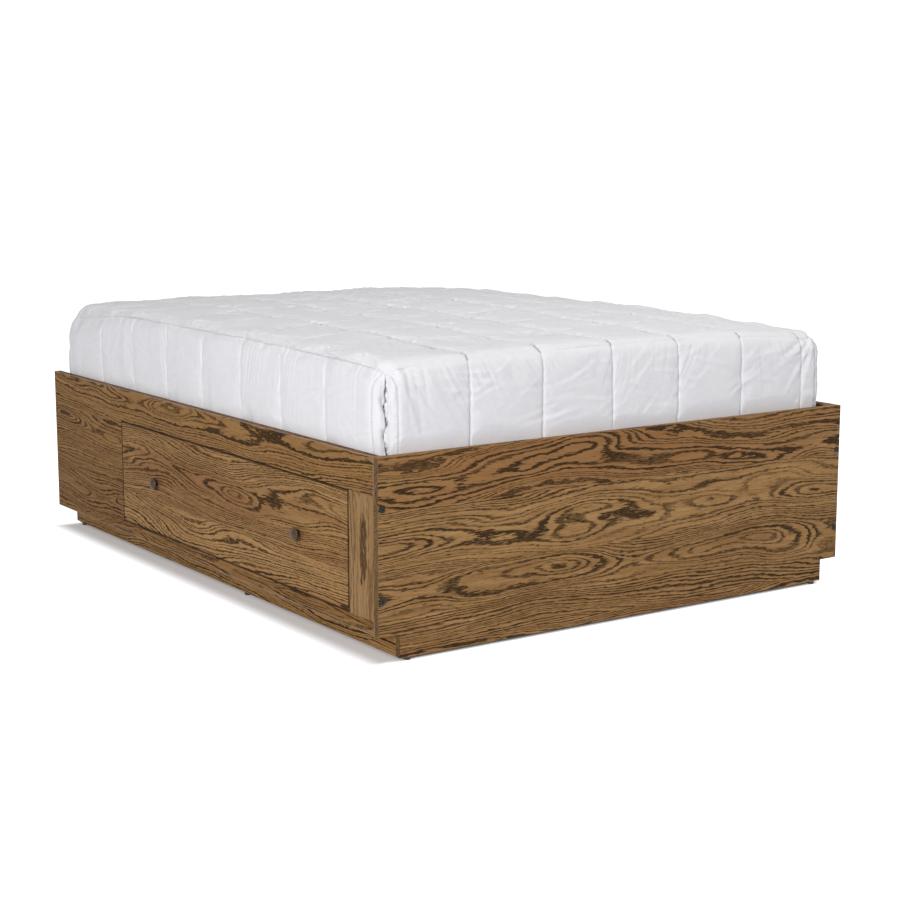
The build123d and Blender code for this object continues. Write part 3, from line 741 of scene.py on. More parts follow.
def ease_edges(node):
    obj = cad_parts[node]
    set_all(obj.modifiers.new("weld", "WELD"), merge_threshold=WELD_REACH)
    set_all(obj.modifiers.new("sanded", "BEVEL"), width=SANDED, segments=2, limit_method="ANGLE",
            angle_limit=BEVEL_ANGLE, harden_normals=True)


sanded = [entry[0] for entry in oak_boards + inner_boards if "knobs" not in entry[0]]
for node in sanded:
    ease_edges(node)
print("eased edges on", len(sanded), "nodes")

# %% [markdown]
# Comforter: the net
# The comforter is one quilted cloth: squares on top, a seam round the mattress edge, and
# channels down the sides, with a slit at each foot corner. It is laid out as a net of
# quads over a box with no bottom. Net lines fall exactly on the sewn lines and crowd
# beside them, so a stitch can be held still while the cloth between stitches puffs up.

# %% Lines of the comforter's net
NET_STEP = 0.0098
SEAM_STEPS = (0.0024, 0.0056)
HEM_STEPS = tuple(0.0095 + 0.0042 * step for step in range(10))
QUILT_PITCH = 0.238
QUILT_FIRST = (0.267, 0.275)
QUILT_COUNT = (6, 8)
RIM_ABOVE_MATTRESS = 0.025
SLIT_DROP = 0.010

cloth_low, cloth_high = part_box("comforter")
mattress_low, mattress_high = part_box("mattress")
hem_level = cloth_low.z
flat_top = mattress_high.z + RIM_ABOVE_MATTRESS
quilt_lines = [
    [cloth_low[axis] + QUILT_FIRST[axis] + i * QUILT_PITCH for i in range(QUILT_COUNT[axis])]
    for axis in (0, 1)
]


def net_lines(low, sewn_lines, high, low_is_sewn=True, slits=(False, False)):
    """Places of the net's lines, about a step apart, with closer ones beside each sewn line."""
    stops = [low, high]
    stops += [low + step for step in SEAM_STEPS if low_is_sewn]
    stops += [high - step for step in SEAM_STEPS]
    stops += [low + step for step in HEM_STEPS if slits[0]]
    stops += [high - step for step in HEM_STEPS if slits[1]]
    for line in sewn_lines:
        stops += [line, *(line + step for step in SEAM_STEPS), *(line - step for step in SEAM_STEPS)]
    stops.sort()
    runs = []
    for start, end in zip(stops, stops[1:]):
        count = max(1, round((end - start) / NET_STEP))
        runs.append(np.linspace(start, end, count, endpoint=False))
    return np.append(np.concatenate(runs), stops[-1])


net_x = net_lines(cloth_low.x, quilt_lines[0], cloth_high.x, slits=(True, True))
net_y = net_lines(cloth_low.y, quilt_lines[1], cloth_high.y, slits=(True, False))
net_z = net_lines(hem_level, [], flat_top, low_is_sewn=False)
last_i, last_j, last_k = len(net_x) - 1, len(net_y) - 1, len(net_z) - 1
slit_k = int(np.searchsorted(net_z, flat_top - SLIT_DROP))
slit_top = net_z[slit_k]
print("net", last_i, "x", last_j, "squares on top,", last_k, "down the sides")


# %% Quads of the comforter's net
def lay_net():
    """Corners of the net as whole numbers (i, j, k, side) and its quads."""
    index, corners, quads = {}, [], []

    def corner(i, j, k, side):
        at_slit = i in (0, last_i) and j == 0 and k < slit_k
        key = (i, j, k, side if at_slit else 0)
        if key not in index:
            index[key] = len(corners)
            corners.append(key)
        return index[key]

    def lay(side, *places):
        quads.append([corner(i, j, k, side) for i, j, k in places])

    for i in range(last_i):
        for j in range(last_j):
            lay(0, (i, j, last_k), (i + 1, j, last_k), (i + 1, j + 1, last_k), (i, j + 1, last_k))
    for k in range(last_k):
        for i in range(last_i):
            for j, a, b in ((0, i, i + 1), (last_j, i + 1, i)):
                lay(1, (a, j, k), (b, j, k), (b, j, k + 1), (a, j, k + 1))
        for j in range(last_j):
            for i, a, b in ((0, j + 1, j), (last_i, j, j + 1)):
                lay(2, (i, a, k), (i, b, k), (i, b, k + 1), (i, a, k + 1))
    return np.array(corners), quads


net_corners, net_quads = lay_net()
NET_I, NET_J, NET_K, NET_SIDE = net_corners.T
on_top = NET_K == last_k
flat_net = np.stack([net_x[NET_I], net_y[NET_J], net_z[NET_K]], axis=1)
print("comforter net", len(net_corners), "corners", len(net_quads), "quads")

# %% [markdown]
# Comforter: the drape
# Each corner of the net is bent round the mattress: straight down the sides, round its
# edges, and over a top that is highest in the middle of the bed. Towards the head the
# mattress edge gives way under the cloth, so it is rounded more there.

# %% Drape of the comforter
EDGE_ROUND = 0.036
HEAD_ROUND = 0.046
HEAD_DROOP = 0.092
HEAD_REACH = (0.45, 1.02)
HEAD_FALL = 0.015
RIGHT_FALL, RIGHT_REACH = 0.010, (0.3, 1.0)
CORNER_SAG, SAG_REACH = 0.004, 0.20
CORNER_ROUND, CORNER_REACH = 0.030, 0.11
SIDE_BULGE = 0.006
END_ROOM = 0.001
CROWN = 0.013

cloth_from, cloth_to = np.array(cloth_low), np.array(cloth_high)
bed_middle = (cloth_from + cloth_to) / 2
bed_half = (cloth_to - cloth_from) / 2
box_low = np.array([cloth_low.x + SIDE_BULGE, cloth_low.y + END_ROOM, hem_level])
box_high = np.array([cloth_high.x - SIDE_BULGE, cloth_high.y - END_ROOM, flat_top])


def inside(places, axis):
    """How far places in the flat cloth are from the nearer edge of its top, on one axis."""
    return np.minimum(places - cloth_low[axis], cloth_high[axis] - places)


def nearest_line(places, lines):
    """How far each place is from the nearest of some lines."""
    return np.min(np.abs(places[:, None] - np.array(lines)[None, :]), axis=1)


def unit(vectors):
    """Vectors of length one."""
    return vectors / np.linalg.norm(vectors, axis=1)[:, None]


def ease(values, low, high):
    """From nothing at low to one at high, with no kink at either end."""
    share = np.clip((values - low) / (high - low), 0, 1)
    return share * share * (3 - 2 * share)


def bell(distance, width):
    """One on a line, falling off to nothing beside it."""
    return np.exp(-(distance / width) ** 2)


def drape_net():
    """Where the net's corners lie before the cloth is filled, which way is out, and how high up."""
    spot = box_low + (flat_net - cloth_from) / (cloth_to - cloth_from) * (box_high - box_low)
    spot[:, 2] = flat_net[:, 2]
    headward = ease(flat_net[:, 1], *HEAD_REACH)
    cornered = bell(np.hypot(inside(flat_net[:, 0], 0), flat_net[:, 1] - cloth_low.y), CORNER_REACH)
    wide = EDGE_ROUND + HEAD_ROUND * headward + CORNER_ROUND * cornered
    tall = EDGE_ROUND + HEAD_DROOP * headward + CORNER_ROUND * cornered
    reach = np.stack([wide, wide, tall], axis=1)
    core = np.clip(spot, box_low + reach, box_high - reach)
    core[:, 2] = np.minimum(spot[:, 2], flat_top - tall)
    turn = unit((spot - core) / reach)
    draped = core + reach * turn
    height = np.clip((flat_net[:, 2] - hem_level) / (flat_top - hem_level), 0, 1)
    across = (draped[:, 0] - bed_middle[0]) / bed_half[0]
    along = (draped[:, 1] - bed_middle[1]) / bed_half[1]
    draped[:, 2] += CROWN * (2 - across ** 2 * (1 - headward) - along ** 2) * height
    from_corner = np.hypot(bed_half[0] * (1 + across), bed_half[1] * (1 - along))
    sag = HEAD_FALL * headward + RIGHT_FALL * ease(across, *RIGHT_REACH)
    sag += CORNER_SAG * bell(from_corner, SAG_REACH)
    draped[:, 2] -= sag * height
    return draped, unit(turn / reach), height


draped_net, net_out, net_height = drape_net()
print("draped from", draped_net.min(0).round(3), "to", draped_net.max(0).round(3))

# %% [markdown]
# Every square gets a first rise between its sewn lines, which tells the simulation which
# way is out. The rise has a shoulder: steep beside the stitches, flat in the middle.

# %% First rise of the squares
QUILT_RISE = 0.005
SIDE_RISE, END_RISE = 0.0016, 0.0026
LONG_SHOULDER, CROSS_SHOULDER, RIM_SHOULDER, CHANNEL_SHOULDER = 0.020, 0.022, 0.03, 0.035


def rise(distance, shoulder):
    """From nothing on a sewn line to one well away from it."""
    return 1 - np.exp(-distance / shoulder)


from_quilt_x = nearest_line(flat_net[:, 0], quilt_lines[0])
from_quilt_y = nearest_line(flat_net[:, 1], quilt_lines[1])
from_rim = np.minimum(inside(flat_net[:, 0], 0), inside(flat_net[:, 1], 1))
below_rim = flat_top - flat_net[:, 2]
on_ends = ~on_top & ((NET_J == 0) | (NET_J == last_j))
from_channel = np.where(on_ends, from_quilt_x, from_quilt_y)
cross_rise = 0.88 + 0.12 * rise(from_quilt_y, CROSS_SHOULDER)
top_rise = QUILT_RISE * rise(from_quilt_x, LONG_SHOULDER) * cross_rise * rise(from_rim, RIM_SHOULDER)
channel_rise = np.where(on_ends, END_RISE * rise(below_rim, RIM_SHOULDER), SIDE_RISE)
bulge = SIDE_BULGE * 4 * net_height * (1 - net_height)
side_rise = channel_rise * rise(from_channel, CHANNEL_SHOULDER) + bulge
start_net = draped_net + net_out * np.where(on_top, top_rise, side_rise)[:, None]
print("rise up to", top_rise.max().round(4), "on top and", side_rise.max().round(4), "on the sides")

# %% [markdown]
# Comforter: sewn lines and slits
# Sewn lines are never quite straight, and the hems of the two foot corners part further
# down, where nothing holds them. A sum of slow random waves gives both: it is smooth,
# and the same each run.

# %% Sewn lines and slits
SEAM_DRIFTS = ((0.006, 0.0015, 0.16), (0.004, 0.0015, 0.25), (0.004, 0.0, 0.30))
SLIT_REACH = 0.012
SLIT_HALF_GAP = 0.0056
SLIT_OPENS, SLIT_ROLLS = (0.040, 0.110), (0.012, 0.085)
ROLL_APART, ROLL_IN = 0.0006, 0.0060
RAGGED_SIZE = 0.030
ON_LINE = 1e-4


def soft_waves(places, size, seed, count=28):
    """A smooth random field about zero, with bumps about one size across in each direction."""
    rng = np.random.default_rng(seed)
    turns = rng.normal(size=(count, places.shape[1])) * (2 * np.pi * 0.5 / np.array(size))
    phases = rng.uniform(0, 2 * np.pi, count)
    return np.cos(places @ turns.T + phases).sum(axis=1) * math.sqrt(2 / count) * 0.5


def wander_seams(points):
    """Small drifts of the whole net on each axis, on top and on the sides, so that no line is ruled."""
    moved = points.copy()
    for axis, (top, side, size) in enumerate(SEAM_DRIFTS):
        moved[:, axis] += np.where(on_top, top, side) * soft_waves(flat_net, size, 11 + axis)
    return moved


def open_slits(points):
    """Parts the hems at both foot corners and rolls their edges in."""
    moved = points.copy()
    below = slit_top - flat_net[:, 2]
    lower = ease(below, *SLIT_OPENS)
    rolled = ease(below, *SLIT_ROLLS)
    waves = [soft_waves(flat_net[:, 2:3], RAGGED_SIZE, seed) for seed in (14, 15)]
    ragged = [np.clip(0.9 + 1.3 * wave, -0.2, 2.2) for wave in waves]
    for i, away in ((0, 1.0), (last_i, -1.0)):
        foot_side = ~on_top & (NET_J == 0) & ((NET_SIDE == 1) | (NET_I != i))
        long_side = ~on_top & (NET_I == i) & ((NET_SIDE == 2) | (NET_J != 0))
        for side, distance, axis, sign, edge in (
            (foot_side, np.abs(flat_net[:, 0] - net_x[i]), 0, away, ragged[0]),
            (long_side, flat_net[:, 1] - net_y[0], 1, 1.0, ragged[1]),
        ):
            near = np.where(side, np.exp(-(distance / SLIT_REACH) ** 1.5), 0.0)
            moved[:, axis] += sign * near * (ROLL_APART * rolled + lower * edge * SLIT_HALF_GAP)
            moved -= net_out * (near * ROLL_IN * rolled)[:, None]
    return moved


start_net = open_slits(wander_seams(start_net))
at_side = (NET_I == 0) | (NET_I == last_i)
on_quilt = on_top & ((from_quilt_x < ON_LINE) | (from_quilt_y < ON_LINE))
on_channel = ~on_top & (from_channel < ON_LINE)
on_slit = at_side & (NET_J == 0) & (NET_K < slit_k)
sewn = on_quilt | (on_top & at_side) | on_channel | (NET_K == 0) | on_slit
print("sewn corners", int(sewn.sum()), "of", len(sewn))

# %% [markdown]
# Comforter: filling
# Blender's cloth does the puffing. The sewn corners are pinned, the cloth is cut a little
# larger than the frame it is pinned to, and a light pressure stands for the filling.
# The spare cloth has nowhere to go but into puckers beside the seams.
# How far a corner may move is capped, and the rims at the foot and the head are kept flat.

# %% Read and write a mesh
def net_object(name, points, quads):
    mesh = bpy.data.meshes.new(name)
    mesh.from_pydata(points.tolist(), [], quads)
    mesh.shade_smooth()
    return add_object(name, mesh)


def read_vectors(items, name, kind=float):
    """One vector for each vertex, as rows."""
    values = np.zeros(len(items) * 3, kind)
    items.foreach_get(name, values)
    return values.reshape(-1, 3)


def write_points(mesh, points):
    mesh.vertices.foreach_set("co", points.ravel())
    mesh.update()


comforter = net_object("comforter_cloth", start_net, net_quads)
print("comforter starts with", len(comforter.data.vertices), "corners")

# %% Fill the comforter
FILL_FRAMES = 16
CLOTH = dict(quality=4, mass=0.25, tension_stiffness=14, compression_stiffness=14, shear_stiffness=5,
             bending_stiffness=0.12, use_pressure=True, uniform_pressure_force=0.03)
SPARE_CLOTH = (-0.010, -0.025)
SPARE_WEIGHTS, SPARE_REACH = (0.25, 0.5, 0.75, 1.0), 0.07
MOST_OUT, MOST_IN, MOST_ALONG = 0.0028, 0.003, 0.006
END_CALM = (0.02, 0.13)


def fill_cloth(obj):
    """Runs the cloth on a pinned net and gives back where its corners end up."""
    pins = obj.vertex_groups.new(name="sewn")
    pins.add(np.flatnonzero(sewn).tolist(), 1.0, "REPLACE")
    spare = obj.vertex_groups.new(name="gathers")
    near_rim = np.exp(-below_rim / SPARE_REACH) * ~on_top
    for weight in SPARE_WEIGHTS:
        chosen = np.flatnonzero((near_rim > weight - SPARE_WEIGHTS[0]) & ~on_top)
        spare.add(chosen.tolist(), weight, "REPLACE")
    modifier = obj.modifiers.new("filling", "CLOTH")
    cloth = set_all(modifier.settings, **CLOTH, vertex_group_mass="sewn", vertex_group_shrink="gathers")
    cloth.shrink_min, cloth.shrink_max = SPARE_CLOTH
    cloth.effector_weights.gravity = 0
    modifier.collision_settings.use_collision = False
    set_all(modifier.point_cache, frame_start=1, frame_end=FILL_FRAMES)
    for number in range(1, FILL_FRAMES + 1):
        scene.frame_set(number)
    filled = obj.evaluated_get(bpy.context.evaluated_depsgraph_get())
    points = read_vectors(filled.data.vertices, "co")
    obj.modifiers.remove(modifier)
    scene.frame_set(1)
    return points


def cap_moves(points):
    """Keeps each corner near where it started, and the rims at the foot and the head flat."""
    move = points - start_net
    to_end = np.abs(start_net[:, 1]).max() - np.abs(start_net[:, 1])
    to_top = start_net[:, 2].max() - start_net[:, 2]
    loose = ease(np.hypot(to_end, to_top), *END_CALM)
    outward = np.sum(move * net_out, axis=1)
    sideways = move - outward[:, None] * net_out
    length = np.linalg.norm(sideways, axis=1)
    sideways *= np.minimum(1, MOST_ALONG / np.maximum(length, 1e-9))[:, None]
    return start_net + sideways + (loose * np.clip(outward, -MOST_IN, MOST_OUT))[:, None] * net_out


filled_net = cap_moves(fill_cloth(comforter))
shift = np.sum((filled_net - start_net) * net_out, axis=1)
print("outward", np.percentile(shift, [1, 10, 50, 90, 99]).round(4))
write_points(comforter.data, filled_net)

# %% [markdown]
# Comforter: fine folds
# The net is too coarse for the finest folds, so it is divided once more and these are
# pressed into it directly: puckers across the quilting, gathers hanging from the rim seam,
# narrow valleys at the stitches, hems beside the slits and a few creases from the packet.
# Each corner still knows its place in the flat net, so a fold can follow its seam.

# %% Divide the net
ON_FACE = 0.0005
BELOW_TOP = 0.0004


def divide_net(obj):
    """Divides the net once, carrying each corner's place in the flat net along."""
    place = obj.data.attributes.new("cloth_place", "FLOAT_VECTOR", "POINT")
    place.data.foreach_set("vector", flat_net.astype(np.float32).ravel())
    modifier = obj.modifiers.new("divide", "SUBSURF")
    set_all(modifier, levels=1, render_levels=1, boundary_smooth="ALL")
    finer = bpy.data.meshes.new_from_object(obj.evaluated_get(bpy.context.evaluated_depsgraph_get()))
    obj.modifiers.remove(modifier)
    obj.data = finer
    finer.shade_smooth()
    flat = read_vectors(finer.attributes["cloth_place"].data, "vector", np.float32)
    return flat.astype(float), read_vectors(finer.vertex_normals, "vector")


flat_place, cloth_out = divide_net(comforter)
place_x, place_y, place_z = flat_place.T
fine_top = place_z > flat_top - BELOW_TOP
at_foot = place_y < cloth_low.y + ON_FACE
fine_ends = ~fine_top & (at_foot | (place_y > cloth_high.y - ON_FACE))
to_quilt_x = nearest_line(place_x, quilt_lines[0])
to_quilt_y = nearest_line(place_y, quilt_lines[1])
to_end = inside(place_y, 1)
to_edge = np.minimum(inside(place_x, 0), to_end)
to_rim = np.where(fine_top, to_edge, flat_top - place_z)
to_slit = np.where(fine_ends, inside(place_x, 0), place_y - cloth_low.y)
run = np.where(fine_ends, place_x, place_y)
print("divided net", len(flat_place), "corners")

# %% [markdown]
# The folds on top lie across the seam that draws them, and one part of the top is more
# rumpled than the rest. They fade out towards the foot and the head, where the rim is flat.

# %% Folds on top
RUMPLE_X, RUMPLE_Y, RUMPLE_REACH = 0.10, 0.0, 0.35
LONG_PUCKER, LONG_REACH, LONG_SIZE = 0.0046, 0.020, 0.016
CROSS_PUCKER, CROSS_REACH, CROSS_SIZE = 0.0014, 0.028, 0.022
PUCKER_STRETCH = 0.22
CRUMPLE, CRUMPLE_SIZE, CRUMPLE_SHARP = 0.0030, 0.060, 0.06
LONG_LINE, LONG_STITCH, CROSS_LINE = (0.0024, 0.0080), (0.0044, 0.0030), (0.0012, 0.0040)
END_FADE = (0.0, 0.05)


def top_folds():
    """Puckers by the sewn lines, sharp small ridges between them, and valleys at the stitches."""
    rumpled = bell(np.hypot(place_x - RUMPLE_X, place_y - RUMPLE_Y), RUMPLE_REACH)
    lively = np.clip(0.5 + 0.8 * rumpled + 0.9 * soft_waves(flat_place, 0.17, 21), 0.10, 1.9)
    by_x = soft_waves(np.stack([place_x * PUCKER_STRETCH, place_y], axis=1), LONG_SIZE, 22)
    by_y = soft_waves(np.stack([place_x, place_y * PUCKER_STRETCH], axis=1), CROSS_SIZE, 23)
    puckers = LONG_PUCKER * np.exp(-to_quilt_x / LONG_REACH) * by_x
    puckers += CROSS_PUCKER * np.exp(-to_quilt_y / CROSS_REACH) * by_y
    crumple = np.abs(soft_waves(flat_place[:, :2], CRUMPLE_SIZE, 24))
    height = lively * puckers + CRUMPLE * lively * np.exp(-crumple / CRUMPLE_SHARP)
    lines_along = sum(depth * bell(to_quilt_x, width) for depth, width in (LONG_LINE, LONG_STITCH))
    lines_across = CROSS_LINE[0] * bell(to_quilt_y, CROSS_LINE[1])
    from_end = ease(to_end, *END_FADE)
    return height * from_end - np.maximum(lines_along * (0.4 + 0.6 * from_end), lines_across)


folds_on_top = top_folds()
print("folds on top", folds_on_top[fine_top].min().round(4), "to", folds_on_top[fine_top].max().round(4))

# %% [markdown]
# The folds on the sides hang from the rim: fine and close together along the bed, broader
# and fewer at the foot, where the slits let the cloth bunch up.

# %% Folds on the sides
HANG_REACH = 0.10
FINE_SIZE, BROAD_SIZE, WAVE_SIZE = 0.011, 0.044, (0.12, 0.12, 0.18)
FINE_END, FINE_SIDE, FINE_ALL = 0.0012, 0.0015, 0.00025
PLEAT_END, PLEAT_BUNCHED, PLEAT_SIDE, PLEAT_SHARP = -0.0029, 0.0085, 0.0012, 0.22
BUNCH_REACH = 0.30
BIG_WAVE = 0.0015
CHANNEL_END, CHANNEL_SIDE, CHANNEL_WIDTH = 0.0032, 0.0009, 0.0036


def side_folds():
    """Gathers and pleats below the rim, slow waves, and the channels' sewn valleys."""
    below = flat_top - place_z
    slant = run + np.where(fine_ends, 0.7, 0.25) * below * soft_waves(run[:, None], 0.35, 25)
    hang = np.exp(-below / HANG_REACH) * np.where(fine_ends, ease(below, *END_FADE), 1.0)
    lively = np.clip(0.75 + 0.8 * soft_waves(run[:, None], 0.11, 29), 0.1, 1.8)
    fine = soft_waves(np.stack([slant, place_z * 0.03], axis=1), FINE_SIZE, 26)
    broad = soft_waves(np.stack([slant, place_z * 0.10], axis=1), BROAD_SIZE, 27)
    bunched = np.where(fine_ends & (place_y < 0), np.exp(-(place_x - cloth_low.x) / BUNCH_REACH), 0.0)
    pleat_height = np.where(fine_ends, PLEAT_END - PLEAT_BUNCHED * bunched, PLEAT_SIDE)
    height = hang * lively * (np.where(fine_ends, FINE_END, FINE_SIDE) * fine)
    height += hang * lively * pleat_height * np.exp(-np.abs(broad) / PLEAT_SHARP)
    height += FINE_ALL * fine
    height += BIG_WAVE * soft_waves(flat_place, WAVE_SIZE, 28) * ease(below, *END_FADE)
    depth = np.where(fine_ends, CHANNEL_END, CHANNEL_SIDE)
    return height - depth * bell(np.where(fine_ends, to_quilt_x, to_quilt_y), CHANNEL_WIDTH)


folds_on_sides = side_folds()
print("folds on the sides", folds_on_sides[~fine_top].min().round(4), "to",
      folds_on_sides[~fine_top].max().round(4))

# %% [markdown]
# Last come the small things that stitches and handling do: a dip beside the rim seam, the
# stitched hems of the slits, folds that pull away from the top of each slit, and straight
# creases from the packet.

# %% Rim, hems, pulls and creases
RIM_STITCH = 0.0042
RIM_DIP_TOP, RIM_DIP_END, RIM_DIP_SIDE, RIM_DIP_WIDTH = 0.0004, 0.0008, 0.0030, 0.0030
HEM_STITCH, HEM_ARCH = 0.044, 0.055
HEM_PUFF, HEM_DIP = (0.0022, 0.009), (0.0030, 0.0032)
CREASE_COUNT, CREASE_SEED, CREASES_AT_FOOT = 160, 31, 0.7
CREASE_FROM_HEM, CREASE_FROM_TOP = 0.05, 0.04
CREASE_ANGLES, CREASE_LENGTHS, CREASE_DEPTHS = (-0.4, 0.8), (0.03, 0.09), (0.0005, 0.0013)
CREASE_SHAPE = (0.004, 0.6, 0.011, 0.009)
PULLS = ((-0.20, 0.10), (-0.55, 0.15), (-0.95, 0.17), (-1.25, 0.16))
PULL_HEIGHT, PULL_START = 0.0034, (-0.02, 0.03)
PULL_SHAPE = (0.007, 0.7, 0.016, 0.010)


def rim_and_hems():
    """A dip beside the rim seam, and the stitched hems of the slits, which arch over at their top."""
    dip = np.where(fine_top, RIM_DIP_TOP, np.where(fine_ends, RIM_DIP_END, RIM_DIP_SIDE))
    arch = HEM_STITCH * np.sqrt(np.clip((slit_top - place_z) / HEM_ARCH, 0, 1))
    hem = ~fine_top & (place_y < 0) & (place_z < slit_top)
    stitched = HEM_PUFF[0] * bell(to_slit - 0.5 * arch, HEM_PUFF[1])
    stitched -= HEM_DIP[0] * bell(to_slit - arch, HEM_DIP[1])
    return -dip * bell(to_rim - RIM_STITCH, RIM_DIP_WIDTH) + np.where(hem, stitched, 0)


def along_and_beside(places, angle):
    """How far places lie along a line at that angle, and beside it."""
    way = np.array([math.cos(angle), math.sin(angle)])
    return places @ way, places @ np.array([-way[1], way[0]])


def ridge(beside, width, share, offset, valley_width):
    """A ridge along a line, with a valley beside it that is that share as deep."""
    return bell(beside, width) - share * bell(beside - offset, valley_width)


def press_creases(height):
    """Straight creases from the packet, on the foot end and the left side."""
    rng = np.random.default_rng(CREASE_SEED)
    for _ in range(CREASE_COUNT):
        on_end = rng.random() < CREASES_AT_FOOT
        limits = (net_x if on_end else net_y)[[0, -1]]
        heights = (hem_level + CREASE_FROM_HEM, flat_top - CREASE_FROM_TOP)
        start = np.array([rng.uniform(*limits), rng.uniform(*heights)])
        angle = rng.uniform(*CREASE_ANGLES)
        length = rng.uniform(*CREASE_LENGTHS)
        depth = rng.uniform(*CREASE_DEPTHS)
        face = at_foot if on_end else place_x < cloth_low.x + ON_FACE
        spot = np.stack([place_x if on_end else place_y, place_z], axis=1) - start
        ahead, beside = along_and_beside(spot, angle)
        fade = np.exp(-(ahead / length) ** 4) * face
        height += depth * fade * ridge(beside, *CREASE_SHAPE)
    return height


def pull_at_slits(height):
    """Folds that spread over the foot end from the top of each slit, at an angle and for a length."""
    face = ~fine_top & at_foot
    for corner_x, away in ((cloth_low.x, 1), (cloth_high.x, -1)):
        spot = np.stack([away * (place_x - corner_x) - HEM_STITCH, place_z - slit_top], axis=1)
        for angle, length in PULLS:
            ahead, beside = along_and_beside(spot, angle)
            fade = face * ease(ahead, *PULL_START) * bell(np.maximum(ahead, 0), length)
            height += PULL_HEIGHT * fade * ridge(beside, *PULL_SHAPE)
    return height


folds = press_creases(np.where(fine_top, folds_on_top, folds_on_sides) + rim_and_hems())
folds = pull_at_slits(folds)
print("folds", folds.min().round(4), "to", folds.max().round(4))

# %% [markdown]
# The cloth is tucked in behind the panels, so below their top edge it has to stay inside
# them. Above it the limit eases off, because a hard step would show as a ledge.

# %% Tuck the comforter in
PANEL_ROOM = 0.0012
OVER_PANEL = 0.008
EASE_HEIGHT = 0.060
FRAME_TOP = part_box("foot_panel")[1].z


def tuck_in(points):
    kept = points.copy()
    over = OVER_PANEL * ease(points[:, 2], FRAME_TOP, FRAME_TOP + EASE_HEIGHT)
    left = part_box("left_side_panel")[1].x + PANEL_ROOM
    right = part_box("right_side_panel")[0].x - PANEL_ROOM
    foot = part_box("foot_panel")[1].y + PANEL_ROOM
    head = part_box("head_rail")[1].y - PANEL_ROOM
    kept[:, 0] = np.clip(kept[:, 0], left - over, right + over)
    kept[:, 1] = np.clip(kept[:, 1], foot - over, head + over)
    return kept


comforter_points = tuck_in(read_vectors(comforter.data.vertices, "co") + cloth_out * folds[:, None])
write_points(comforter.data, comforter_points)
print("comforter from", comforter_points.min(0).round(3), "to", comforter_points.max(0).round(3))

# %% [markdown]
# Comforter: corded rim
# Top and sides meet in a corded seam, a thin round ridge along the rim. It is a tube of
# small rings that follows the rim's own corners, and sinks out of sight at the foot and the
# head, where the cloth runs over the edge in one piece.

# %% Corded rim
CORD_RADIUS = 0.0015
CORD_UNEVEN, CORD_BEADS = 0.25, 0.012
CORD_SIDES = 8
CORD_LIFT, CORD_SINK = 0.0008, 0.0040
CORD_FADE = (0.04, 0.12)
AT_EDGE = 1e-5


def rim_path():
    """The rim's corners in order round the bed, which way is out there, and where the cord shows."""
    rim = np.flatnonzero(fine_top & (to_edge < AT_EDGE))
    x, y = place_x[rim] - net_x[0], place_y[rim] - net_y[0]
    wide, long = net_x[-1] - net_x[0], net_y[-1] - net_y[0]
    on_foot, on_right, on_head = y < AT_EDGE, x > wide - AT_EDGE, y > long - AT_EDGE
    order = np.select([on_foot, on_right, on_head], [x, wide + y, 2 * wide + long - x], 2 * (wide + long) - y)
    rim = rim[np.argsort(order)]
    return comforter_points[rim], cloth_out[rim], ease(to_end[rim], *CORD_FADE)


def add_cord(net):
    """Adds the cord's tube to the comforter's mesh."""
    path, out, shown = rim_path()
    for _ in range(3):
        path = (np.roll(path, 1, axis=0) + 2 * path + np.roll(path, -1, axis=0)) / 4
    ahead = unit(np.roll(path, -1, axis=0) - np.roll(path, 1, axis=0))
    beside = unit(np.cross(ahead, out))
    lifted = np.cross(beside, ahead)
    radius = CORD_RADIUS * (1 + CORD_UNEVEN * soft_waves(path, CORD_BEADS, 33))
    sunk = path + lifted * (CORD_LIFT - CORD_SINK * (1 - shown))[:, None]
    rings = []
    for side in range(CORD_SIDES):
        angle = 2 * math.pi * side / CORD_SIDES
        ring = sunk + radius[:, None] * (math.cos(angle) * lifted + math.sin(angle) * beside)
        rings.append([net.verts.new(point) for point in ring])
    for ring, other in zip(rings, rings[1:] + rings[:1]):
        for here in range(len(path)):
            after = (here + 1) % len(path)
            net.faces.new((ring[here], other[here], other[after], ring[after])).smooth = True
    return len(path)


print("rim of", len(rim_path()[0]), "corners")

# %% [markdown]
# Comforter: turned hems
# A single skin would show a paper-thin edge, so the hem and the slits are turned in: a strip
# of cloth goes round the edge and up inside. At a slit, the foot flap's strip goes on behind
# the gap as an underlap, so that little shows through it.

# %% Turned hems
HEM_TURN = 0.0035
HEM_WIDTH = 0.022
HEM_BAND = 0.004
UNDERLAP = ((0.002, -0.010), (0.016, -0.002))
FOLD_BACK = ((0.0, -0.0035), (0.010, -0.001))


def strip_moves(vertex):
    """Two moves that carry an edge corner round the turn and into the strip inside."""
    out = vertex.co - Vector(bed_middle)
    if vertex.co.z < hem_level + HEM_BAND:
        if abs(out.x / bed_half[0]) > abs(out.y / bed_half[1]):
            inward = Vector((-math.copysign(HEM_TURN, out.x), 0, 0))
        else:
            inward = Vector((0, -math.copysign(HEM_TURN, out.y), 0))
        return inward, Vector((0, 0, HEM_WIDTH))
    inner = sum((face.calc_center_median() - vertex.co for face in vertex.link_faces), Vector((0, 0, 0)))
    side = math.copysign(1, out.x)
    diagonal = Vector((side, -1, 0)).normalized()
    to_long_side = Vector((side, 1, 0)).normalized()
    on_foot_flap = abs(inner.x) > abs(inner.y)
    return [a * to_long_side + b * diagonal for a, b in (UNDERLAP if on_foot_flap else FOLD_BACK)]


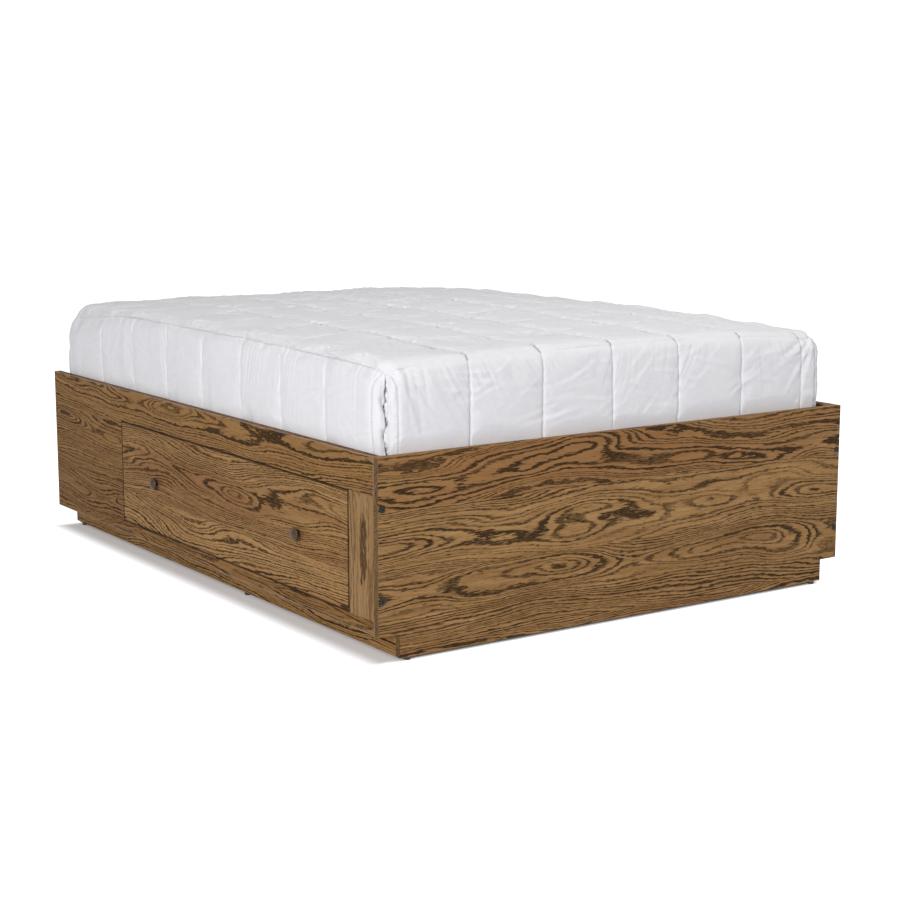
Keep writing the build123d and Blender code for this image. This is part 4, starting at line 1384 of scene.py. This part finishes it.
def turn_hems(net):
    """Extrudes every open edge twice: round the turn, then along the strip."""
    edges = [edge for edge in net.edges if edge.is_boundary]
    corners = {vertex for edge in edges for vertex in edge.verts}
    moves = {vertex.co.copy().freeze(): strip_moves(vertex) for vertex in corners}
    for step in (0, 1):
        made = bmesh.ops.extrude_edge_only(net, edges=edges)["geom"]
        moved = {}
        for vertex in [item for item in made if isinstance(item, bmesh.types.BMVert)]:
            move = moves[vertex.co.copy().freeze()]
            vertex.co += move[step]
            moved[vertex.co.copy().freeze()] = move
        moves = moved
        edges = [item for item in made if isinstance(item, bmesh.types.BMEdge) and item.is_boundary]


def finish_comforter(obj):
    net = bmesh.new()
    net.from_mesh(obj.data)
    turn_hems(net)
    length = add_cord(net)
    bmesh.ops.recalc_face_normals(net, faces=net.faces)
    net.to_mesh(obj.data)
    net.free()
    obj.data.shade_smooth()
    print("rim cord of", length, "rings, comforter faces", len(obj.data.polygons))


finish_comforter(comforter)
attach(comforter, "bedding")
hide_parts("comforter")

# %% [markdown]
# Mattress
# Under the comforter lies a sprung mattress: two quilted panels, a border that bulges a
# little, and a taped edge round the top and the bottom. It only shows in the slits and from
# below, but an empty comforter would look wrong there. The outline is a rounded rectangle,
# and rings of it are stacked from the bottom panel to the top one.

# %% Outline and rings of the mattress
TAPE_RADIUS, TAPE_TURN, TAPE_STEPS = 0.006, 1.9, 9
BORDER_BULGE, BORDER_INSET, BORDER_STEPS = 0.003, 0.004, 13
BORDER_FROM, BORDER_TO = 0.018, 0.022
MATTRESS_CORNER, LEAST_CORNER = 0.070, 0.004
PANEL_RECESS = 0.004
BOTTOM_INSETS, BOTTOM_EDGE = (0.70, 0.45, 0.25, 0.12, 0.05), (0.016, 0.005)
TOP_EDGE, TOP_INSETS = ((0.022, 0.006), (0.05, 0.003), (0.09, 0.001)), np.linspace(0.13, 0.74, 16)
TOP_TAPE_DROP = 0.008
CORNER_STEPS = 12
SIDE_STEPS = 48


def mattress_outline(inset):
    """Points of a rounded rectangle, that far inside the mattress's box, all the way round."""
    low = np.array(mattress_low[:2]) + inset
    high = np.array(mattress_high[:2]) - inset
    radius = max(MATTRESS_CORNER - inset, LEAST_CORNER)
    points = []
    corners = ((high[0], high[1]), (low[0], high[1]), (low[0], low[1]), (high[0], low[1]))
    for quarter, (x, y) in enumerate(corners):
        centre_x = x - math.copysign(radius, x - bed_middle[0])
        centre_y = y - math.copysign(radius, y - bed_middle[1])
        centre = np.array([centre_x, centre_y])
        for step in range(CORNER_STEPS + 1):
            angle = (quarter + step / CORNER_STEPS) * math.pi / 2
            points.append(centre + radius * np.array([math.cos(angle), math.sin(angle)]))
    outline = []
    for number, (here, after) in enumerate(zip(points, points[1:] + points[:1])):
        count = SIDE_STEPS if number % (CORNER_STEPS + 1) == CORNER_STEPS else 1
        outline += [here + (after - here) * step / count for step in range(count)]
    return np.array(outline)


def mattress_rings():
    """Inset and height of each ring, from the middle of the bottom to the middle of the top."""
    bottom, top = mattress_low.z, mattress_high.z
    turns = np.linspace(-TAPE_TURN, TAPE_TURN, TAPE_STEPS)
    tape = [(TAPE_RADIUS * (1 - math.cos(a)), TAPE_RADIUS * math.sin(a)) for a in turns]
    rings = [(inset, bottom + PANEL_RECESS) for inset in BOTTOM_INSETS]
    rings += [(BOTTOM_EDGE[0], bottom + BOTTOM_EDGE[1])]
    rings += [(inset, bottom + TAPE_RADIUS + lift) for inset, lift in tape]
    border = np.linspace(bottom + BORDER_FROM, top - BORDER_TO, BORDER_STEPS)
    middle, half = (border[0] + border[-1]) / 2, (border[-1] - border[0]) / 2
    rings += [(BORDER_INSET + BORDER_BULGE * ((z - middle) / half) ** 2, z) for z in border]
    rings += [(inset, top - TOP_TAPE_DROP - TAPE_RADIUS + lift) for inset, lift in tape]
    rings += [(inset, top - drop) for inset, drop in TOP_EDGE]
    return rings + [(inset, top) for inset in TOP_INSETS]


print("mattress of", len(mattress_rings()), "rings with", len(mattress_outline(0.0)), "points")

# %% [markdown]
# The top panel is tufted, and the mattress gives at its corners and along its head, where
# the comforter droops over it.

# %% Mattress
TUFT_PITCH = 0.12
TUFT_DEPTH = 0.006
TUFT_START, TUFT_EASE = 0.04, 0.08
TUFT_LEVEL = 0.01
MATTRESS_GIVE, EDGE_GIVE, EDGE_REACH = 0.045, 0.6, 0.05
GIVE_FROM = 0.03


def mattress_heights(outline, inset, z):
    """How high each point of a ring lies, with the tufts and the give taken off."""
    deep = np.clip((inset - TUFT_START) / TUFT_EASE, 0, 1) if z > mattress_high.z - TUFT_LEVEL else 0.0
    tufts = np.sin(math.pi * outline[:, 0] / TUFT_PITCH) * np.sin(math.pi * outline[:, 1] / TUFT_PITCH)
    across = bed_half[0] - np.abs(outline[:, 0] - bed_middle[0])
    along = bed_half[1] - (outline[:, 1] - bed_middle[1])
    from_end = np.minimum(along, 2 * bed_half[1] - along)
    give = MATTRESS_GIVE * bell(np.hypot(across, from_end), SAG_REACH)
    give += MATTRESS_GIVE * EDGE_GIVE * bell(across, EDGE_REACH) * ease(outline[:, 1], *HEAD_REACH)
    give += MATTRESS_GIVE * EDGE_GIVE * bell(along, EDGE_REACH)
    heights = z - deep * TUFT_DEPTH * (1 - np.abs(tufts))
    return heights - give * ease(z, mattress_low.z + GIVE_FROM, mattress_high.z)


def make_mattress():
    net = bmesh.new()
    rows = []
    for inset, z in mattress_rings():
        outline = mattress_outline(inset)
        heights = mattress_heights(outline, inset, z)
        rows.append([net.verts.new((x, y, h)) for (x, y), h in zip(outline, heights)])
    for row, other in zip(rows, rows[1:]):
        for here in range(len(row)):
            after = (here + 1) % len(row)
            net.faces.new((row[here], row[after], other[after], other[here]))
    net.faces.new(rows[-1])
    net.faces.new(rows[0][::-1])
    bmesh.ops.recalc_face_normals(net, faces=net.faces)
    mesh = bpy.data.meshes.new("mattress_body")
    net.to_mesh(mesh)
    net.free()
    mesh.shade_smooth()
    return add_object("mattress_body", mesh)


mattress = make_mattress()
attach(mattress, "bedding")
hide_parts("mattress")
print("mattress faces", len(mattress.data.polygons))

# %% [markdown]
# Cotton
# Bleached cotton percale: almost white, a fine plain weave that only shows up close,
# and small crinkles. The weave is two sets of threads, one over the other. The mattress
# is covered in a heavier ticking with the same build, so both use one group.

# %% Weave group
WEAVE_HEIGHT = 0.10
RIDGE_SHARE, CREASE_SHARE, PATCH_SHARE = 0.55, 0.36, 0.22
RIDGE_TOP, CREASE_WIDTH, CREASE_HEIGHT = 0.35, 0.06, 1.6


def make_weave_group():
    tree, given, out = new_group(
        "plain_weave",
        {"Point": "Vector", "Thread": "Float", "Crinkle Size": "Float", "Crinkle": "Float"},
        {"Height": "Float", "Shade": "Float"},
    )
    point = given["Point"]
    turn = 2 * math.pi / given["Thread"]
    waves = [calc("SINE", part * turn) for part in split(point)]
    weave = (waves[0] * waves[1] + (waves[1] * waves[2] + waves[0] * waves[2])) * WEAVE_HEIGHT
    per_m = 1.0 / given["Crinkle Size"]
    soft = noise(point, per_m, 3.0, 0.55)
    ridge = RIDGE_TOP - abs(noise(point, per_m * RIDGE_SHARE, 2.0))
    cells = node_outputs(tree, "ShaderNodeTexVoronoi", {"Vector": point, "Scale": per_m * CREASE_SHARE},
                         feature="DISTANCE_TO_EDGE")
    crease = smooth_step(cells["Distance"], 0.0, CREASE_WIDTH, 1.0, 0.0)
    shown = smooth_step(noise(point, per_m * PATCH_SHARE, 1.0), -0.1, 0.35)
    crinkle = (soft + ridge + crease * shown * CREASE_HEIGHT) * given["Crinkle"]
    feed(out["Height"], weave + crinkle)
    # The colour follows the soft crinkles: a little deeper where they sink, a painted shade.
    feed(out["Shade"], smooth_step(soft, -0.6, 0.6))
    return tree


WEAVE = make_weave_group()
print("group", WEAVE.name, "with", len(WEAVE.nodes), "nodes")

# %% [markdown]
# Stitches
# The comforter remembers where each point lay in the flat cloth, so the shader can draw a
# row of stitches exactly on each sewn line, however the cloth has bent. Each stitch sinks a
# little and its hole is greyed, a painted shade. Beside the long lines on top lies a soft
# painted shade, where the cloth dips to the seam.

# %% Rows of stitches
STITCH_LENGTH = 0.0036
STITCH_WIDTH = 0.0030
STITCH_BEAT = (-0.6, 0.1)
HEM_STITCH_START = (0.004, 0.020)
SIDE_BAND = (0.002, 0.001)
GATHER_PITCH, GATHER_REACH = 0.0085, 0.013
LINE_GATHERS, GATHER_BAND, GATHER_WANDER = 0.8, 0.03, 5.0


def to_sewn_line(place, first, count):
    """How far a place in the flat cloth is from the nearest of the evenly spaced lines."""
    steps = (place - first) / QUILT_PITCH
    whole = smaller(larger(calc("ROUND", steps), 0.0), count - 1.0)
    return abs(steps - whole) * QUILT_PITCH


def stitch_row(distance, along):
    """One on a stitch, nothing between stitches or beside the row."""
    beat = calc("SINE", along * (2 * math.pi / STITCH_LENGTH))
    on_row = smooth_step(distance, STITCH_WIDTH * 0.4, STITCH_WIDTH, 1.0, 0.0)
    return on_row * smooth_step(beat, *STITCH_BEAT)


def within(place, axis):
    """How far a place in the flat cloth is from the nearer edge of its top, on one axis."""
    return smaller(place - cloth_low[axis], cloth_high[axis] - place)


def hem_stitches(x, y, z):
    """The row along the hems of the slits: up one flap, round in an arch and down the other."""
    from_slit = within(x, 0) + (y - cloth_low.y)
    below = slit_top - z
    arch = calc("SQRT", calc("DIVIDE", below, HEM_ARCH, clamp=True))
    return stitch_row(abs(from_slit - arch * HEM_STITCH), z) * smooth_step(below, *HEM_STITCH_START)


def rim_stitches(x, y, z):
    """The row just under the rim on the long sides."""
    on_side = smooth_step(abs(x - bed_middle[0]), *(bed_half[0] - band for band in SIDE_BAND))
    return stitch_row(abs(flat_top - z - RIM_STITCH), y) * on_side


def gathers(x, y, z, to_long_line, wander):
    """Tiny ridges across the rim seam and across the sewn lines that run along the bed."""
    from_rim = smaller(within(x, 0), within(y, 1)) + (flat_top - z)
    by_line = smooth_step(to_long_line, 0.0, GATHER_REACH, LINE_GATHERS, 0.0)
    by_line = by_line * smooth_step(z, flat_top - GATHER_BAND, flat_top)
    near = larger(smooth_step(from_rim, 0.0, GATHER_REACH, 1.0, 0.0), by_line)
    return calc("SINE", (x + y) * (2 * math.pi / GATHER_PITCH) + wander * GATHER_WANDER) * near


print("stitches of", STITCH_LENGTH, "m, gathers of", GATHER_PITCH, "m")

# %% [markdown]
# Both cloths take the weave group. Only the comforter is stitched, and there the shader adds
# up its rows: bold along the bed, faint across it, on the hems and under the rim.

# %% Cotton and ticking
CROSS_STITCHES, HEM_STITCHES, RIM_STITCHES, SIDE_STITCHES = 0.3, 0.45, 0.4, 0.30
# The grey of the stitches and the seam band beside the long lines are painted shade.
SEAM_SHADE, SEAM_SHADE_REACH = 0.28, 0.008
TOP_BAND = 0.012
PAINTED_STITCH_SHADE, STITCH_SHADE, STITCH_SINK = srgb(112, 112, 122), 0.9, 0.8
GATHER_HEIGHT = 0.6
CLOTH_DEPTH, CLOTH_BUMP = 0.0010, 0.5


def stitched_and_shaded_look(tree, color, height, wander):
    """The colour and the height of a plain cloth, with the comforter's stitches added; their grey and the
    soft band beside the long lines on top are painted shade.
    """
    x, y, z = split(node_outputs(tree, "ShaderNodeAttribute", attribute_name="cloth_place")["Vector"])
    to_long_line = to_sewn_line(x, quilt_lines[0][0], QUILT_COUNT[0])
    to_cross_line = to_sewn_line(y, quilt_lines[1][0], QUILT_COUNT[1])
    cross_row = stitch_row(to_cross_line, x + z) * CROSS_STITCHES
    pressed = smooth_step(z, flat_top - TOP_BAND, flat_top, SIDE_STITCHES, 1.0)
    stitches = larger(stitch_row(to_long_line, y + z), cross_row) * pressed
    stitches = larger(stitches, hem_stitches(x, y, z) * HEM_STITCHES)
    stitches = larger(stitches, rim_stitches(x, y, z) * RIM_STITCHES)
    # A soft painted shade beside the long lines on top, where the seam dips.
    shade = smooth_step(to_long_line, 0.0, SEAM_SHADE_REACH, SEAM_SHADE, 0.0)
    stitches = larger(stitches, shade * smooth_step(z, flat_top - TOP_BAND, flat_top))
    ridges = gathers(x, y, z, to_long_line, wander) * GATHER_HEIGHT
    # Stitches and seam band are blended towards the painted shade colour.
    return blend_color(stitches * STITCH_SHADE, color, PAINTED_STITCH_SHADE), height - stitches * STITCH_SINK + ridges


def cloth_material(name, pale, deep, thread, crinkle_size, crinkle, stitched=False):
    material, tree, shader = new_material(name, 0.85, Sheen_Weight=0.10, Sheen_Roughness=0.5)
    cloth = place_group(tree, WEAVE, Point=surface_point(tree), Thread=thread, Crinkle_Size=crinkle_size,
                        Crinkle=crinkle)
    # Deeper colour in the hollows of the crinkles is painted shade.
    color = blend_color(cloth["Shade"], deep, pale)
    height = cloth["Height"]
    if stitched:
        color, height = stitched_and_shaded_look(tree, color, height, cloth["Shade"])
    feed(shader["Base Color"], color)
    add_bump(shader, height, CLOTH_DEPTH, CLOTH_BUMP)
    return material


cotton = cloth_material("white_cotton", srgb(241, 241, 244), srgb(237, 237, 241), thread=0.0011,
                        crinkle_size=0.024, crinkle=0.30, stitched=True)
ticking = cloth_material("mattress_ticking", srgb(233, 231, 226), srgb(221, 219, 213), thread=0.0022,
                         crinkle_size=0.03, crinkle=0.15)
comforter.data.materials.append(cotton)
mattress.data.materials.append(ticking)
print("cotton on", comforter.name, "ticking on", mattress.name)
